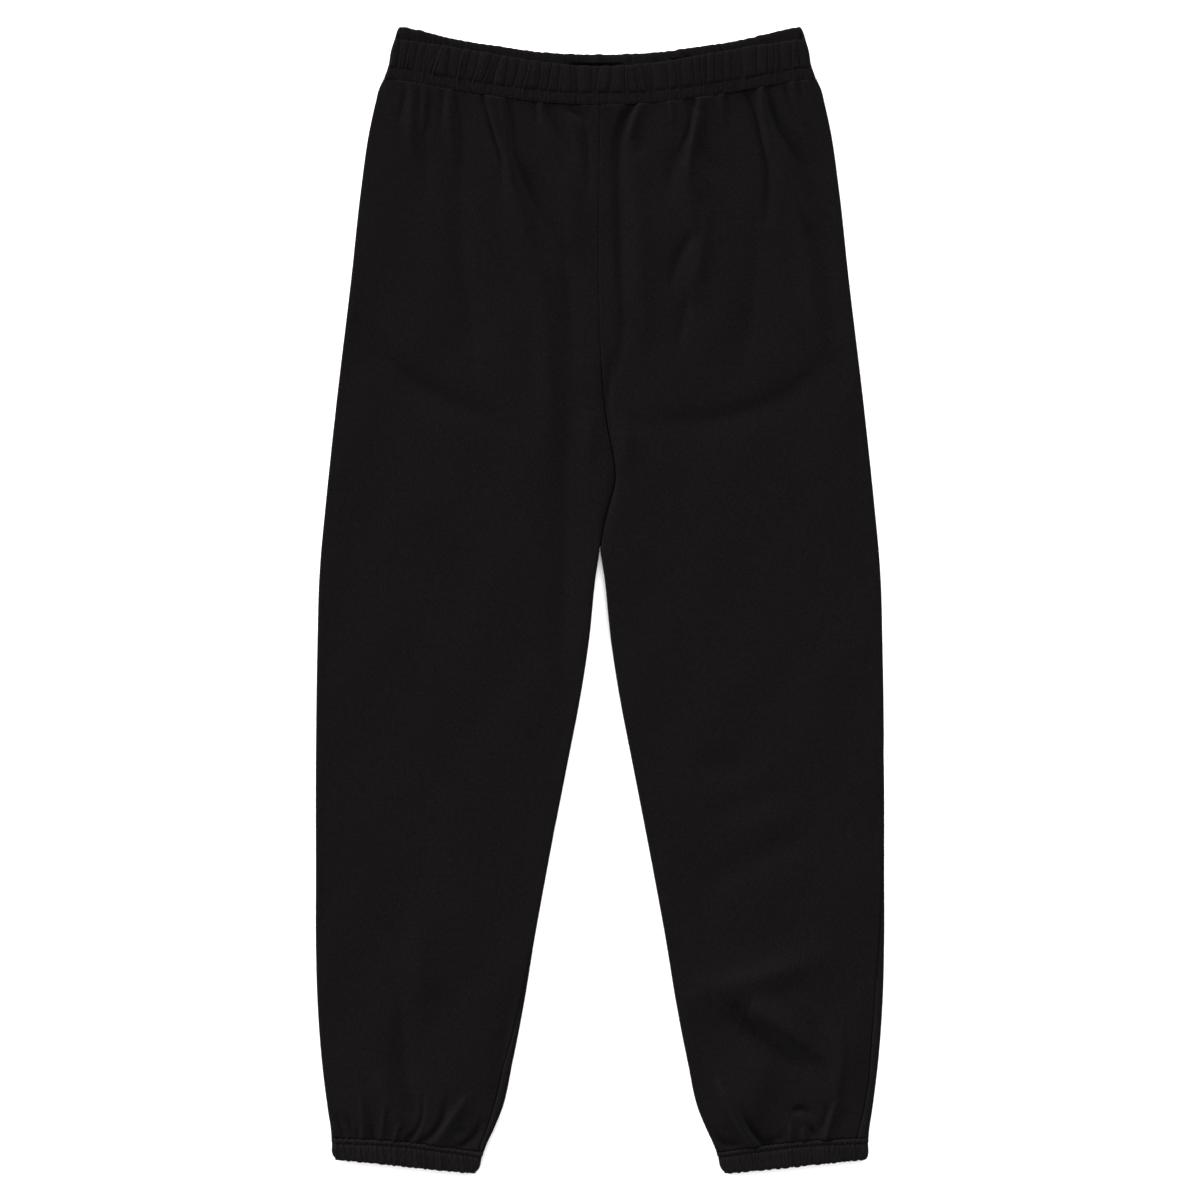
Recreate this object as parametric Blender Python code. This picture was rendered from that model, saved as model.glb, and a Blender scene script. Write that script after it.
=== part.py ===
"""Jogger sweatpants in black fleece, laid flat with the front up.

Two front panels, two back panels, a gathered waistband ring and two gathered cuff rings.
Each is a closed wall of cloth. Sizes are in millimetres, and become metres when a point is placed.

The garment lies on the plane Z = 0. X runs across it, Y up towards the waist.
"across" is the distance from the centre line, "down" the distance below the highest point of the waist.
"""

import math
from collections import namedtuple

import bmesh
import bpy
import numpy as np

# Driving dimensions
MILLIMETRE = 0.001
LENGTH = 1040.0            # top of the waistband to the lowest point of the cuffs
CLOTH = 2.3                # thickness of the brushed fleece
SEAM_GAP = 0.3             # space left between two pieces that are sewn together
CROTCH = 473.0             # where the two inseams begin
BACK_SPLIT_START = 455.0   # the centre back seam opens into the two inseams between these
BACK_SPLIT_END = 492.0
SHARP_ANGLE = 70.0         # edges of the mesh that turn more than this are shaded sharp
WELD = 0.000001            # metres within which a ring's first and last points are one
SETTLING_PASSES = 4        # passes in which a point's place across and its place down settle
LEFT = 1                   # the wearer's left leg lies at +X
RIGHT = -1

# Waistband: fleece folded over wide elastic
BAND_WALL = 4.2            # two layers of fleece with the elastic between them
BAND_HEIGHT = 9.8          # front and back of the band lying on each other, with a slit between
BAND_STITCH = 26.0         # from the top edge to the upper row of stitching, at the back
BACK_SEAM_CENTRE = 61.5    # the waist seam at the centre back
BACK_SEAM_SLOPE = 0.0725   # and how far it climbs for each millimetre towards the side
BAND_FRONT_PLEATS = 40
BAND_BACK_PLEATS = 30
BAND_PLEAT_RISE = 1.5
BAND_PLEAT_PHASE = 0.6     # shifts the row of uneven pleats
BAND_LEAN = 5.0            # how far the pleat tops lean towards the centre on the wearer's right
BAND_LEAN_REACH = 60.0     # the lean sets in over this distance from the centre and from the side

# Cuffs: fleece folded over narrow elastic
CUFF_WALL = 3.6
CUFF_HEIGHT = 9.0          # front and back of a cuff lying on each other
CUFF_STRIP = 4.5           # between the seam and the second row of stitching
CUFF_BACK_SEAM = 1030.6    # the back's cuff seam, carried on to the centre line
CUFF_BACK_SLOPE = 0.0986
CUFF_FRONT_PLEATS = 16
CUFF_BACK_PLEATS = 5
CUFF_PLEAT_RISE = 1.2
CUFF_PLEAT_PHASES = {LEFT: 2.1, RIGHT: 0.1}

# Pleats of the rings: share of a pleat's width and height there, from one crease to the next
FRONT_PLEAT_STEPS = ((0.0, 0.0), (0.38, 1.0), (0.72, 0.6))
BACK_PLEAT_STEPS = ((0.0, 0.0), (0.5, 1.0))
END_PLEAT = 0.5            # height of the small pleats round the two ends of a ring
PLEAT_WIDTH_WAVES = ((0.22, 2.4, 1), (0.13, 5.3, 2))    # uneven widths: share, step and phases
PLEAT_RISE = 0.82          # middle height of the pleats, as a share of their rise
PLEAT_RISE_WAVE = (0.3, 1.7)                            # uneven heights: share and step
SCALLOP = 0.8              # how far the folded edge of a ring draws in between two pleats
SCALLOP_REACH = 0.125      # share of the way to the stitching over which it does so

# How far folds may sink and rise on the front panels
DEEPEST_FOLD = 2.3
HIGHEST_FOLD = 6.0
FOLD_MARGIN = 11.0         # folds die out over this distance from a side seam
CENTRE_MARGIN = 6.0        # and over this one from the centre front seam

# Half of the outline, the same on both legs: side seam, inseam, and height of the leg lying flat
OUTLINE = np.array([
    (0, 184.0, 0.0, 8.4),
    (12, 186.0, 0.0, 8.4),
    (22, 189.0, 0.0, 8.4),
    (36, 191.5, 0.0, 8.4),
    (48, 196.0, 0.0, 8.4),
    (58, 200.5, 0.0, 8.4),
    (70, 203.5, 0.0, 8.3),
    (95, 209.0, 0.0, 8.2),
    (147, 216.5, 0.0, 7.9),
    (229, 225.5, 0.0, 7.7),
    (338, 238.5, 0.0, 7.5),
    (447, 250.0, 0.0, 7.5),
    (473, 252.5, 0.0, 7.5),
    (502, 254.5, 4.0, 7.5),
    (556, 256.0, 9.5, 7.5),
    (611, 257.0, 18.0, 7.5),
    (665, 257.5, 28.5, 7.5),
    (774, 257.5, 49.5, 7.5),
    (829, 257.5, 59.5, 7.5),
    (884, 256.0, 68.5, 7.6),
    (938, 252.0, 79.0, 7.8),
    (982, 246.5, 89.0, 8.1),
    (1000, 243.8, 96.5, 8.3),
    (1014, 243.0, 103.0, 8.4),
    (1024, 243.0, 106.5, 8.4),
    (1040, 238.5, 109.5, 8.4),
], dtype=[("down", "f8"), ("outer", "f8"), ("inner", "f8"), ("height", "f8")])

# Lines across the waist, from the centre to the side
WAIST = np.array([
    (0, 25.0, 34.5, 60.5, 71.0),
    (30, 24.5, 34.5, 61.0, 70.5),
    (61, 22.0, 32.0, 58.5, 69.0),
    (87, 18.0, 27.5, 55.5, 65.5),
    (113, 14.5, 23.0, 51.5, 62.0),
    (136, 10.0, 19.0, 48.0, 58.0),
    (160, 4.0, 15.5, 43.0, 53.5),
    (178, 0.3, 13.0, 40.0, 50.5),
    (200, 0.0, 12.0, 38.5, 48.0),
], dtype=[("across", "f8"), ("back_top", "f8"), ("front_top", "f8"), ("stitch", "f8"), ("seam", "f8")])

# Lines across a cuff, from the inseam to the side seam
CUFF = np.array([
    (103, 1020.5, 1040.0),
    (120, 1018.0, 1039.5),
    (134, 1016.0, 1038.3),
    (155, 1013.0, 1036.3),
    (185, 1009.5, 1033.0),
    (215, 1008.0, 1030.0),
    (245, 1007.0, 1027.0),
], dtype=[("across", "f8"), ("seam", "f8"), ("hem", "f8")])

# Where the two fronts meet: straight down the centre seam, then in the crease between the legs.
# "facing" is the angle that the cloth has turned to at the seam, 90 flat and 0 upright.
CENTRE_LINE = np.array([
    (50, 0.0, 52.0),
    (280, 0.0, 52.0),
    (310, 1.2, 48.0),
    (335, 2.9, 38.0),
    (361, 6.2, 24.0),
    (385, 10.9, 14.0),
    (400, 13.2, 10.0),
    (413, 13.4, 8.0),
    (434, 8.0, 5.0),
    (455, 2.9, 2.0),
    (473, 0.0, 0.0),
], dtype=[("down", "f8"), ("x", "f8"), ("facing", "f8")])

# How far a seam has rolled from the side of the leg onto its front, seen from above
INSEAM_ROLL_RIGHT = np.array([
    (720, 0.0),
    (829, 1.0),
    (875, 3.0),
    (920, 5.5),
    (946, 7.7),
    (978, 8.2),
    (1000, 6.4),
    (1025, 4.2),
], dtype=[("down", "f8"), ("inward", "f8")])
OUTSEAM_ROLL_LEFT = np.array([
    (650, 0.0),
    (793, 2.7),
    (864, 7.0),
    (916, 7.7),
    (956, 6.6),
    (985, 7.7),
    (1012, 11.0),
], dtype=[("down", "f8"), ("inward", "f8")])

# Rows of the panels' mesh, closer where the shape turns
PANEL_ROWS = (48, 63, 82, 105, 135, 173, 215, 260, 305, 338, 362, 382, 398, 412, 428, 445, 463, 480,
              502, 550, 611, 680, 750, 820, 870, 908, 936, 962, 985, 1010)
WAIST_ROW = 48.0           # the first row, which follows the waist seam
STRAIGHT_ROW = 173.0       # from this row on the waist seam's curve is gone
LEVEL_ROW = 908.0          # from this row on the cuff seam's curve begins
CUFF_ROW = 1010.0          # the last row, which follows the cuff seam
FRONT_COLUMNS = 24
BACK_COLUMNS = 1
FRONT_EDGE_STEPS = (0.0, 0.33, 0.67, 1.0, 2.0)    # columns of an edge: 1 ends its roll, 2 its flat run
BACK_EDGE_STEPS = (0.0, 0.25, 0.5, 0.75, 1.0, 2.0)
EDGE_RUN = 7.0             # flat cloth that belongs to an edge, past its roll
SHORTEST_ROLL = 3.0        # kept for the roll's columns where a seam lies past the roll

# Largest folds of the two fronts: three points of each one's line, its half width and its rise
FOLDS = np.array([
    # wearer's left hip
    (27, 66, 14, 120, 16, 190, 7.0, -2.8),
    (16, 170, 19, 230, 25, 290, 7.0, -2.5),
    (34, 130, 37, 225, 43, 305, 9.0, 2.5),
    (134, 165, 132, 235, 130, 305, 16.0, -1.6),
    (136, 55, 149, 112, 152, 160, 6.0, -2.1),
    (144, 50, 169, 134, 195, 235, 8.0, 3.2),
    (150, 50, 180, 118, 205, 190, 7.0, -2.0),
    (91, 60, 84, 160, 94, 240, 9.0, 2.8),
    (88, 190, 74, 211, 62, 234, 8.0, -1.9),
    (56, 60, 55, 95, 58, 130, 7.0, 2.1),
    (70, 60, 69, 90, 68, 118, 6.0, -1.8),
    (114, 55, 116, 90, 120, 120, 7.0, 2.1),
    (198, 305, 140, 328, 75, 358, 10.0, -1.4),
    # wearer's right hip
    (-112, 50, -86, 120, -53, 172, 8.0, -3.0),
    (-58, 160, -33, 215, -24, 290, 8.0, -2.9),
    (-29, 300, -34, 450, -37, 610, 15.0, -1.9),
    (-92, 90, -74, 170, -52, 235, 9.0, 3.4),
    (-55, 230, -56, 290, -44, 375, 11.0, 2.5),
    (-42, 60, -38, 100, -34, 140, 8.0, 2.2),
    (-27, 60, -12, 110, -11, 150, 6.0, -2.0),
    (-169, 45, -170, 85, -171, 118, 7.0, 2.5),
    (-135, 50, -131, 100, -128, 140, 7.0, 2.5),
    (-163, 85, -161, 125, -158, 162, 8.0, -2.0),
    (-124, 105, -125, 210, -112, 305, 14.0, -1.9),
    (-194, 305, -145, 330, -92, 362, 10.0, -1.4),
    # lower part of the wearer's left leg
    (81, 676, 109, 670, 137, 668, 10.0, -1.4),
    (100, 716, 140, 702, 178, 690, 10.0, -1.6),
    (92, 779, 141, 754, 190, 734, 11.0, -1.8),
    (92, 868, 124, 864, 158, 856, 13.0, 3.8),
    (118, 884, 154, 911, 190, 938, 8.0, -3.6),
    (132, 990, 138, 950, 176, 943, 20.0, 3.0),
    (160, 896, 182, 898, 206, 912, 12.0, 3.0),
    (109, 955, 127, 995, 144, 1022, 7.0, 3.4),
    (130, 984, 142, 1000, 150, 1022, 6.0, -2.4),
    (174, 980, 182, 981, 190, 984, 6.0, -1.8),
    (219, 930, 216, 971, 202, 1020, 9.0, 3.2),
    (174, 992, 173, 1006, 172, 1022, 6.0, 2.1),
    # lower part of the wearer's right leg
    (-164, 815, -162, 845, -160, 880, 14.0, 2.8),
    (-189, 860, -181, 935, -173, 995, 11.0, -2.2),
    (-204, 925, -203, 956, -201, 985, 12.0, 2.4),
    (-218, 962, -214, 990, -212, 1020, 7.0, 2.4),
    (-161, 968, -164, 995, -181, 1020, 6.0, -2.2),
    (-141, 975, -148, 998, -168, 1022, 6.0, -2.2),
    (-123, 964, -139, 990, -154, 1024, 7.0, 3.2),
], dtype=[("x1", "f8"), ("down1", "f8"), ("x2", "f8"), ("down2", "f8"), ("x3", "f8"), ("down3", "f8"),
          ("width", "f8"), ("rise", "f8")])
FOLD_STEPS = 12            # straight pieces that a fold's line is measured along

# Section of the waistband. "place" counts 0 at the folded edge, 1 at the upper stitching, 2 at the seam;
# "depth" is how far the point lies under the outer face, "pleat" its share of the pleats' rise.
BAND_SECTION = np.array([
    (0.00, 2.1, 0.35),
    (0.05, 0.6, 0.90),
    (0.45, 0.0, 1.00),
    (0.85, 0.2, 0.95),
    (1.00, 1.3, 0.15),
    (1.50, 0.6, 0.30),
    (1.90, 1.2, 0.10),
    (2.00, 2.0, 0.00),
    (2.00, BAND_WALL, 0.00),
    (0.60, BAND_WALL, 0.30),
    (0.06, BAND_WALL - 0.3, 0.80),
], dtype=[("place", "f8"), ("depth", "f8"), ("pleat", "f8")])
BAND_INNER_POINTS = 3      # the last points of the section form the inner face

# Section of a cuff. "place" counts 0 at the folded hem, 1 at the lower stitching, 2 at the seam.
CUFF_SECTION = np.array([
    (0.00, 1.8, 0.35),
    (0.08, 0.5, 0.90),
    (0.40, 0.0, 1.00),
    (0.78, 0.2, 0.90),
    (1.00, 0.9, 0.25),
    (1.50, 0.4, 0.30),
    (2.00, 1.2, 0.00),
    (2.00, CUFF_WALL, 0.00),
    (0.10, CUFF_WALL - 0.1, 0.00),
], dtype=[("place", "f8"), ("depth", "f8"), ("pleat", "f8")])
CUFF_INNER_POINTS = 2
END_ANGLES = (60.0, 30.0, 0.0, -30.0, -60.0)     # facing angles of the columns round a ring's end

FLEECE_BLACK = (0.0090, 0.0080, 0.0084, 1.0)
FLEECE_ROUGHNESS = 0.95

Panel = namedtuple("Panel", "face side steps middle_columns")
Ring = namedtuple("Ring", "height rise section inner_points columns side ends lines lean toward_seam middle")


def smooth_curve(places, values):
    """A function that reads a smooth curve through the given places and values."""
    slopes = np.gradient(values, places)

    def value_at(place):
        place = min(max(place, places[0]), places[-1])
        k = min(int(np.searchsorted(places, place, side="right")) - 1, len(places) - 2)
        step = places[k + 1] - places[k]
        t = (place - places[k]) / step
        rise = 3 * t ** 2 - 2 * t ** 3
        start_slope = t * (1 - t) ** 2 * step * slopes[k]
        end_slope = t ** 2 * (t - 1) * step * slopes[k + 1]
        return values[k] * (1 - rise) + values[k + 1] * rise + start_slope + end_slope

    return value_at


outer_at = smooth_curve(OUTLINE["down"], OUTLINE["outer"])
inner_curve = smooth_curve(OUTLINE["down"], OUTLINE["inner"])
height_at = smooth_curve(OUTLINE["down"], OUTLINE["height"])
centre_x_at = smooth_curve(CENTRE_LINE["down"], CENTRE_LINE["x"])
centre_facing_at = smooth_curve(CENTRE_LINE["down"], CENTRE_LINE["facing"])
back_top_at = smooth_curve(WAIST["across"], WAIST["back_top"])
front_top_at = smooth_curve(WAIST["across"], WAIST["front_top"])
front_stitch_at = smooth_curve(WAIST["across"], WAIST["stitch"])
front_seam_at = smooth_curve(WAIST["across"], WAIST["seam"])
front_cuff_seam_at = smooth_curve(CUFF["across"], CUFF["seam"])
cuff_hem_at = smooth_curve(CUFF["across"], CUFF["hem"])


def inner_at(down):
    """Distance of the inseam from the centre line, nothing above the crotch."""
    return max(0.0, inner_curve(down))


def waist_seam_at(across, facing_up):
    """The waist seam between its straight back run and its curved front run."""
    back = BACK_SEAM_CENTRE - BACK_SEAM_SLOPE * across
    return back + (front_seam_at(across) - back) * facing_up


def cuff_seam_at(across, facing_up):
    """The cuff seam between its straight back run and its curved front run."""
    back = CUFF_BACK_SEAM - CUFF_BACK_SLOPE * across
    return back + (front_cuff_seam_at(across) - back) * facing_up


def ease(share):
    """0 to 1 with a soft start and a soft end."""
    share = min(max(share, 0.0), 1.0)
    return share * share * (3 - 2 * share)


def place_point(vertex, x, down, height):
    """Put a vertex at its place, in metres."""
    vertex.co = (x * MILLIMETRE, (LENGTH / 2 - down) * MILLIMETRE, height * MILLIMETRE)


def fold_line(fold):
    """Points along the curve through a fold's three points."""
    t = np.linspace(0, 1, FOLD_STEPS + 1)[:, None]
    first = np.array([fold["x1"], fold["down1"]])
    middle = np.array([fold["x2"], fold["down2"]])
    last = np.array([fold["x3"], fold["down3"]])
    return first * (1 - t) * (1 - 2 * t) + middle * 4 * t * (1 - t) + last * t * (2 * t - 1)


FOLD_LINES = [fold_line(fold) for fold in FOLDS]


def nearest_on_line(line, spot):
    """Distance from a spot to a line of points, and the share of the line where it is nearest."""
    starts = line[:-1]
    runs = line[1:] - starts
    shares = np.clip(((spot - starts) * runs).sum(axis=1) / (runs ** 2).sum(axis=1), 0, 1)
    distances = np.linalg.norm(starts + runs * shares[:, None] - spot, axis=1)
    k = int(np.argmin(distances))
    return distances[k], (k + shares[k]) / len(runs)


def fold_rise(x, down):
    """How far the folds lift the front cloth at a spot, or sink it."""
    spot = np.array([x, down])
    total = 0.0
    for fold, line in zip(FOLDS, FOLD_LINES):
        distance, share = nearest_on_line(line, spot)
        strength = math.sqrt(max(0.0, math.sin(math.pi * min(max(share, 0.03), 0.97))))
        total += fold["rise"] * strength * math.exp(-(distance / fold["width"]) ** 2)
    limit = HIGHEST_FOLD if total > 0 else DEEPEST_FOLD
    return limit * math.tanh(total / limit)


def around_edge(reach, radius):
    """Cloth that lies "reach" around a rolled side, counted upwards from its outermost line.

    Gives the distance in from that line, the height, and the angle that the cloth faces.
    """
    quarter = radius * math.pi / 2
    turn = min(max(reach, -quarter), quarter) / radius
    beyond = max(0.0, abs(reach) - quarter)
    return radius * (1 - math.cos(turn)) + beyond, radius * (1 + math.sin(turn)), turn


def rolled_seam_reach(side, seam, down, radius):
    """Reach of a leg's seam around its side: nothing where it lies at the very side."""
    if side == RIGHT and seam == "inner":
        table = INSEAM_ROLL_RIGHT
    elif side == LEFT and seam == "outer":
        table = OUTSEAM_ROLL_LEFT
    else:
        return 0.0
    inward = float(np.interp(down, table["down"], table["inward"]))
    if inward <= radius:
        return radius * math.acos(1 - inward / radius)
    return radius * math.pi / 2 + inward - radius


def edge_strip(panel, seam, down):
    """The strip of a panel along one of its two long seams, at one level.

    Gives where the side's outermost line lies across, the way in from it, the radius of its roll,
    and the reaches at which the strip starts, ends its roll and ends.
    """
    radius = height_at(down) / 2
    quarter = radius * math.pi / 2
    start = rolled_seam_reach(panel.side, seam, down, radius)
    if panel.face == "front":
        start += SEAM_GAP / 2
        if seam == "inner" and down < CROTCH:
            start = max(start, math.radians(centre_facing_at(down)) * radius)
        roll_end = max(quarter, start + SHORTEST_ROLL)
        end = roll_end + EDGE_RUN
    else:
        start -= SEAM_GAP / 2
        if seam == "inner":
            opened = ease((down - BACK_SPLIT_START) / (BACK_SPLIT_END - BACK_SPLIT_START))
            start = -quarter + (start + quarter) * opened
        roll_end = min(-quarter, start - SHORTEST_ROLL)
        end = roll_end - EDGE_RUN
    if seam == "outer":
        return outer_at(down), -1, radius, (start, roll_end, end)
    line = inner_at(down) + SEAM_GAP / 2
    if panel.face == "front" and down < CROTCH:
        line += panel.side * centre_x_at(down)
    if down < BACK_SPLIT_END:
        line -= around_edge(start, radius)[0]
    return line, 1, radius, (start, roll_end, end)


def strip_point(strip, step):
    """Place across, height, facing angle and outward direction of a point of an edge strip."""
    line, way_in, radius, reaches = strip
    inward, height, turn = around_edge(float(np.interp(step, (0, 1, 2), reaches)), radius)
    return line + way_in * inward, height, turn, -way_in


def section_point(panel, column, down):
    """The outer point of a panel's wall at one column, on the cross-section at one level."""
    edge_columns = len(panel.steps) - 1
    outer_strip = edge_strip(panel, "outer", down)
    inner_strip = edge_strip(panel, "inner", down)
    if column <= edge_columns:
        return strip_point(outer_strip, panel.steps[column])
    from_inner = 2 * edge_columns + panel.middle_columns - column
    if from_inner <= edge_columns:
        return strip_point(inner_strip, panel.steps[from_inner])
    share = (column - edge_columns) / panel.middle_columns
    low, height, turn, outward = strip_point(outer_strip, 2)
    high = strip_point(inner_strip, 2)[0]
    return low + (high - low) * share, height, turn, outward


def row_down(across, facing_up, station):
    """How far down a point of a row lies: the first rows follow the waist seam, the last the cuff seam."""
    waist_seam = waist_seam_at(across, facing_up) + SEAM_GAP / 2
    cuff_seam = cuff_seam_at(across, facing_up) - SEAM_GAP / 2
    waist_share = max(0.0, (STRAIGHT_ROW - station) / (STRAIGHT_ROW - WAIST_ROW))
    cuff_share = max(0.0, (station - LEVEL_ROW) / (CUFF_ROW - LEVEL_ROW))
    return station + (waist_seam - WAIST_ROW) * waist_share + (cuff_seam - CUFF_ROW) * cuff_share


def folded_height(panel, across, down):
    """Rise of the folds at a point of a front panel, dying out towards its seams."""
    from_side = outer_at(down) - across
    from_inside = across - edge_strip(panel, "inner", down)[0]
    inside_margin = CENTRE_MARGIN if down < CROTCH else FOLD_MARGIN
    margin = ease(from_side / FOLD_MARGIN) * ease(from_inside / inside_margin)
    return fold_rise(panel.side * across, down) * margin


def cloth_wall(name, columns, rows, spot):
    """A grid of cloth with a wall: "spot" gives the place of each outer and inner point."""
    cloth = bmesh.new()
    bmesh.ops.create_grid(cloth, x_segments=columns, y_segments=rows, size=0.5)
    outer_vertices = set(cloth.verts)
    bmesh.ops.extrude_face_region(cloth, geom=cloth.faces[:], use_keep_orig=True)
    for vertex in cloth.verts:
        column = round((vertex.co.x + 0.5) * columns)
        row = round((vertex.co.y + 0.5) * rows)
        place_point(vertex, *spot(column, row, vertex in outer_vertices))
    return finish_mesh(name, cloth)


def finish_mesh(name, shape):
    """Turn the faces outwards and make the mesh, smooth but for its rims."""
    bmesh.ops.recalc_face_normals(shape, faces=shape.faces[:])
    mesh = bpy.data.meshes.new(name)
    shape.to_mesh(mesh)
    shape.free()
    mesh.shade_smooth()
    mesh.set_sharp_from_angle(angle=math.radians(SHARP_ANGLE))
    return mesh


def make_panel(name, face, side):
    """One front or back panel of one leg."""
    if face == "front":
        panel = Panel(face, side, FRONT_EDGE_STEPS, FRONT_COLUMNS)
    else:
        panel = Panel(face, side, BACK_EDGE_STEPS, BACK_COLUMNS)
    columns = 2 * (len(panel.steps) - 1) + panel.middle_columns

    def spot(column, row, is_outer):
        down = PANEL_ROWS[row]
        for _ in range(SETTLING_PASSES):
            across, _, turn, outward = section_point(panel, column, down)
            if down < CROTCH and outward < 0:
                turn = math.copysign(math.pi / 2, turn)
            down = row_down(across, (1 + math.sin(turn)) / 2, PANEL_ROWS[row])
        across, height, turn, outward = section_point(panel, column, down)
        if face == "front":
            height += folded_height(panel, across, down)
        if not is_outer:
            across -= CLOTH * math.cos(turn) * outward
            height -= CLOTH * math.sin(turn)
        return side * across, down, height

    return cloth_wall(name, columns, len(PANEL_ROWS) - 1, spot)


def pleat_columns(count, phase, steps, facing):
    """Columns of a run of uneven pleats: share of the run, facing angle, and share of the rise."""
    pleats = np.arange(count)
    widths = np.ones(count)
    for size, step, phases in PLEAT_WIDTH_WAVES:
        widths += size * np.sin(step * pleats + phases * phase)
    starts = np.concatenate([[0], np.cumsum(widths)]) / widths.sum()
    size, step = PLEAT_RISE_WAVE
    rises = PLEAT_RISE + size * np.sin(step * pleats + phase)
    columns = []
    for pleat, rise in enumerate(rises):
        for step, height in steps:
            share = starts[pleat] + (starts[pleat + 1] - starts[pleat]) * step
            columns.append((share, facing, rise * height))
    return columns


def ring_columns(front_count, back_count, phase):
    """Columns all the way round a flattened ring, from its low end along the front."""
    front = pleat_columns(front_count, phase, FRONT_PLEAT_STEPS, 90.0)
    high_end = [(1.0, angle, END_PLEAT * (k % 2)) for k, angle in enumerate((90.0,) + END_ANGLES)]
    back = pleat_columns(back_count, phase + 1, BACK_PLEAT_STEPS, -90.0)
    back = [(1 - share, angle, rise) for share, angle, rise in back]
    low_end = [(0.0, angle, END_PLEAT * (k % 2)) for k, angle in enumerate((-90.0,) + END_ANGLES[::-1])]
    return front + high_end + back + low_end


def ring_point(ring, column, section_row):
    """Place of one point of a ring's closed section."""
    share, angle, pleat = column
    turn = math.radians(angle)
    facing_up = (1 + math.sin(turn)) / 2
    radius = ring.height / 2
    is_inner = section_row >= len(ring.section) - ring.inner_points
    place = ring.section["place"][section_row]
    depth = ring.section["depth"][section_row]
    wave = ring.section["pleat"][section_row] * pleat * ring.rise
    if is_inner:
        outward = radius - depth - wave * (1 - facing_up)
    else:
        outward = radius - depth * facing_up + wave * facing_up

    down = ring.middle
    for _ in range(SETTLING_PASSES):
        low, high = ring.ends(down)
        across = low + radius + (high - low - 2 * radius) * share
        across += ring.lean(across, low) * (1 - place / 2) * facing_up
        if share in (0.0, 1.0):
            across += math.cos(turn) * outward * (1 if share else -1)
        edge, stitch, seam = ring.lines(abs(across), facing_up)
        down = edge + (stitch - edge) * min(place, 1) + (seam - stitch) * max(0.0, place - 1)
    down += ring.toward_seam * SCALLOP * (1 - pleat) * max(0.0, 1 - place / SCALLOP_REACH)
    return ring.side * across, down, radius + math.sin(turn) * outward


def make_ring(name, ring):
    """A closed ring of doubled cloth, welded both round the garment and round its section."""
    band = bmesh.new()
    around = len(ring.columns)
    section_rows = len(ring.section)
    bmesh.ops.create_grid(band, x_segments=around, y_segments=section_rows, size=0.5)
    for vertex in band.verts:
        column = round((vertex.co.x + 0.5) * around) % around
        section_row = round((vertex.co.y + 0.5) * section_rows) % section_rows
        place_point(vertex, *ring_point(ring, ring.columns[column], section_row))
    bmesh.ops.remove_doubles(band, verts=band.verts[:], dist=WELD)
    return finish_mesh(name, band)


def waist_lines(across, facing_up):
    """Top edge, upper stitching and seam of the waistband, between its back and its front."""
    back_top = back_top_at(across)
    edge = back_top + (front_top_at(across) - back_top) * facing_up
    back_stitch = back_top + BAND_STITCH
    stitch = back_stitch + (front_stitch_at(across) - back_stitch) * facing_up
    return edge, stitch, waist_seam_at(across, facing_up) - SEAM_GAP / 2


def waist_lean(across, low):
    """Shift of the pleat tops towards the centre, on the wearer's right half of the front."""
    return BAND_LEAN * ease(-across / BAND_LEAN_REACH) * ease((across - low) / BAND_LEAN_REACH)


def make_waistband():
    """The gathered waistband: a ring, front band over back band."""
    ring = Ring(
        height=BAND_HEIGHT,
        rise=BAND_PLEAT_RISE,
        section=BAND_SECTION,
        inner_points=BAND_INNER_POINTS,
        columns=ring_columns(BAND_FRONT_PLEATS, BAND_BACK_PLEATS, BAND_PLEAT_PHASE),
        side=1,
        ends=lambda down: (-outer_at(down), outer_at(down)),
        lines=waist_lines,
        lean=waist_lean,
        toward_seam=1,
        middle=WAIST_ROW,
    )
    return make_ring("waistband", ring)


def cuff_lines(across, facing_up):
    """Hem edge, lower stitching and seam of a cuff."""
    seam = cuff_seam_at(across, facing_up) + SEAM_GAP / 2
    return cuff_hem_at(across), seam + CUFF_STRIP, seam


def make_cuff(name, side):
    """A gathered cuff: a ring like the waistband's, turned over."""
    ring = Ring(
        height=CUFF_HEIGHT,
        rise=CUFF_PLEAT_RISE,
        section=CUFF_SECTION,
        inner_points=CUFF_INNER_POINTS,
        columns=ring_columns(CUFF_FRONT_PLEATS, CUFF_BACK_PLEATS, CUFF_PLEAT_PHASES[side]),
        side=side,
        ends=lambda down: (inner_at(down), outer_at(down)),
        lines=cuff_lines,
        lean=lambda across, low: 0.0,
        toward_seam=-1,
        middle=CUFF_ROW,
    )
    return make_ring(name, ring)


def make_material(name, colour, roughness):
    """A matt cloth material of one colour."""
    material = bpy.data.materials.new(name)
    material.use_nodes = True
    shader = material.node_tree.nodes["Principled BSDF"]
    shader.inputs["Base Color"].default_value = colour
    shader.inputs["Roughness"].default_value = roughness
    shader.inputs["Metallic"].default_value = 0.0
    return material


def add_piece(collection, mesh):
    """One sewn piece as an object with its own material."""
    piece = bpy.data.objects.new(mesh.name, mesh)
    mesh.materials.append(make_material(mesh.name + "_fleece", FLEECE_BLACK, FLEECE_ROUGHNESS))
    collection.objects.link(piece)


def main():
    for thing in list(bpy.data.objects):
        bpy.data.objects.remove(thing, do_unlink=True)
    garment = bpy.data.collections.new("jogger_sweatpants")
    bpy.context.scene.collection.children.link(garment)
    for face in ("front", "back"):
        add_piece(garment, make_panel(face + "_panel_left", face, LEFT))
        add_piece(garment, make_panel(face + "_panel_right", face, RIGHT))
    add_piece(garment, make_waistband())
    add_piece(garment, make_cuff("cuff_left", LEFT))
    add_piece(garment, make_cuff("cuff_right", RIGHT))


main()
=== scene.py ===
import math

import bmesh
import bpy
import numpy as np
from mathutils import Matrix, Vector


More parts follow.
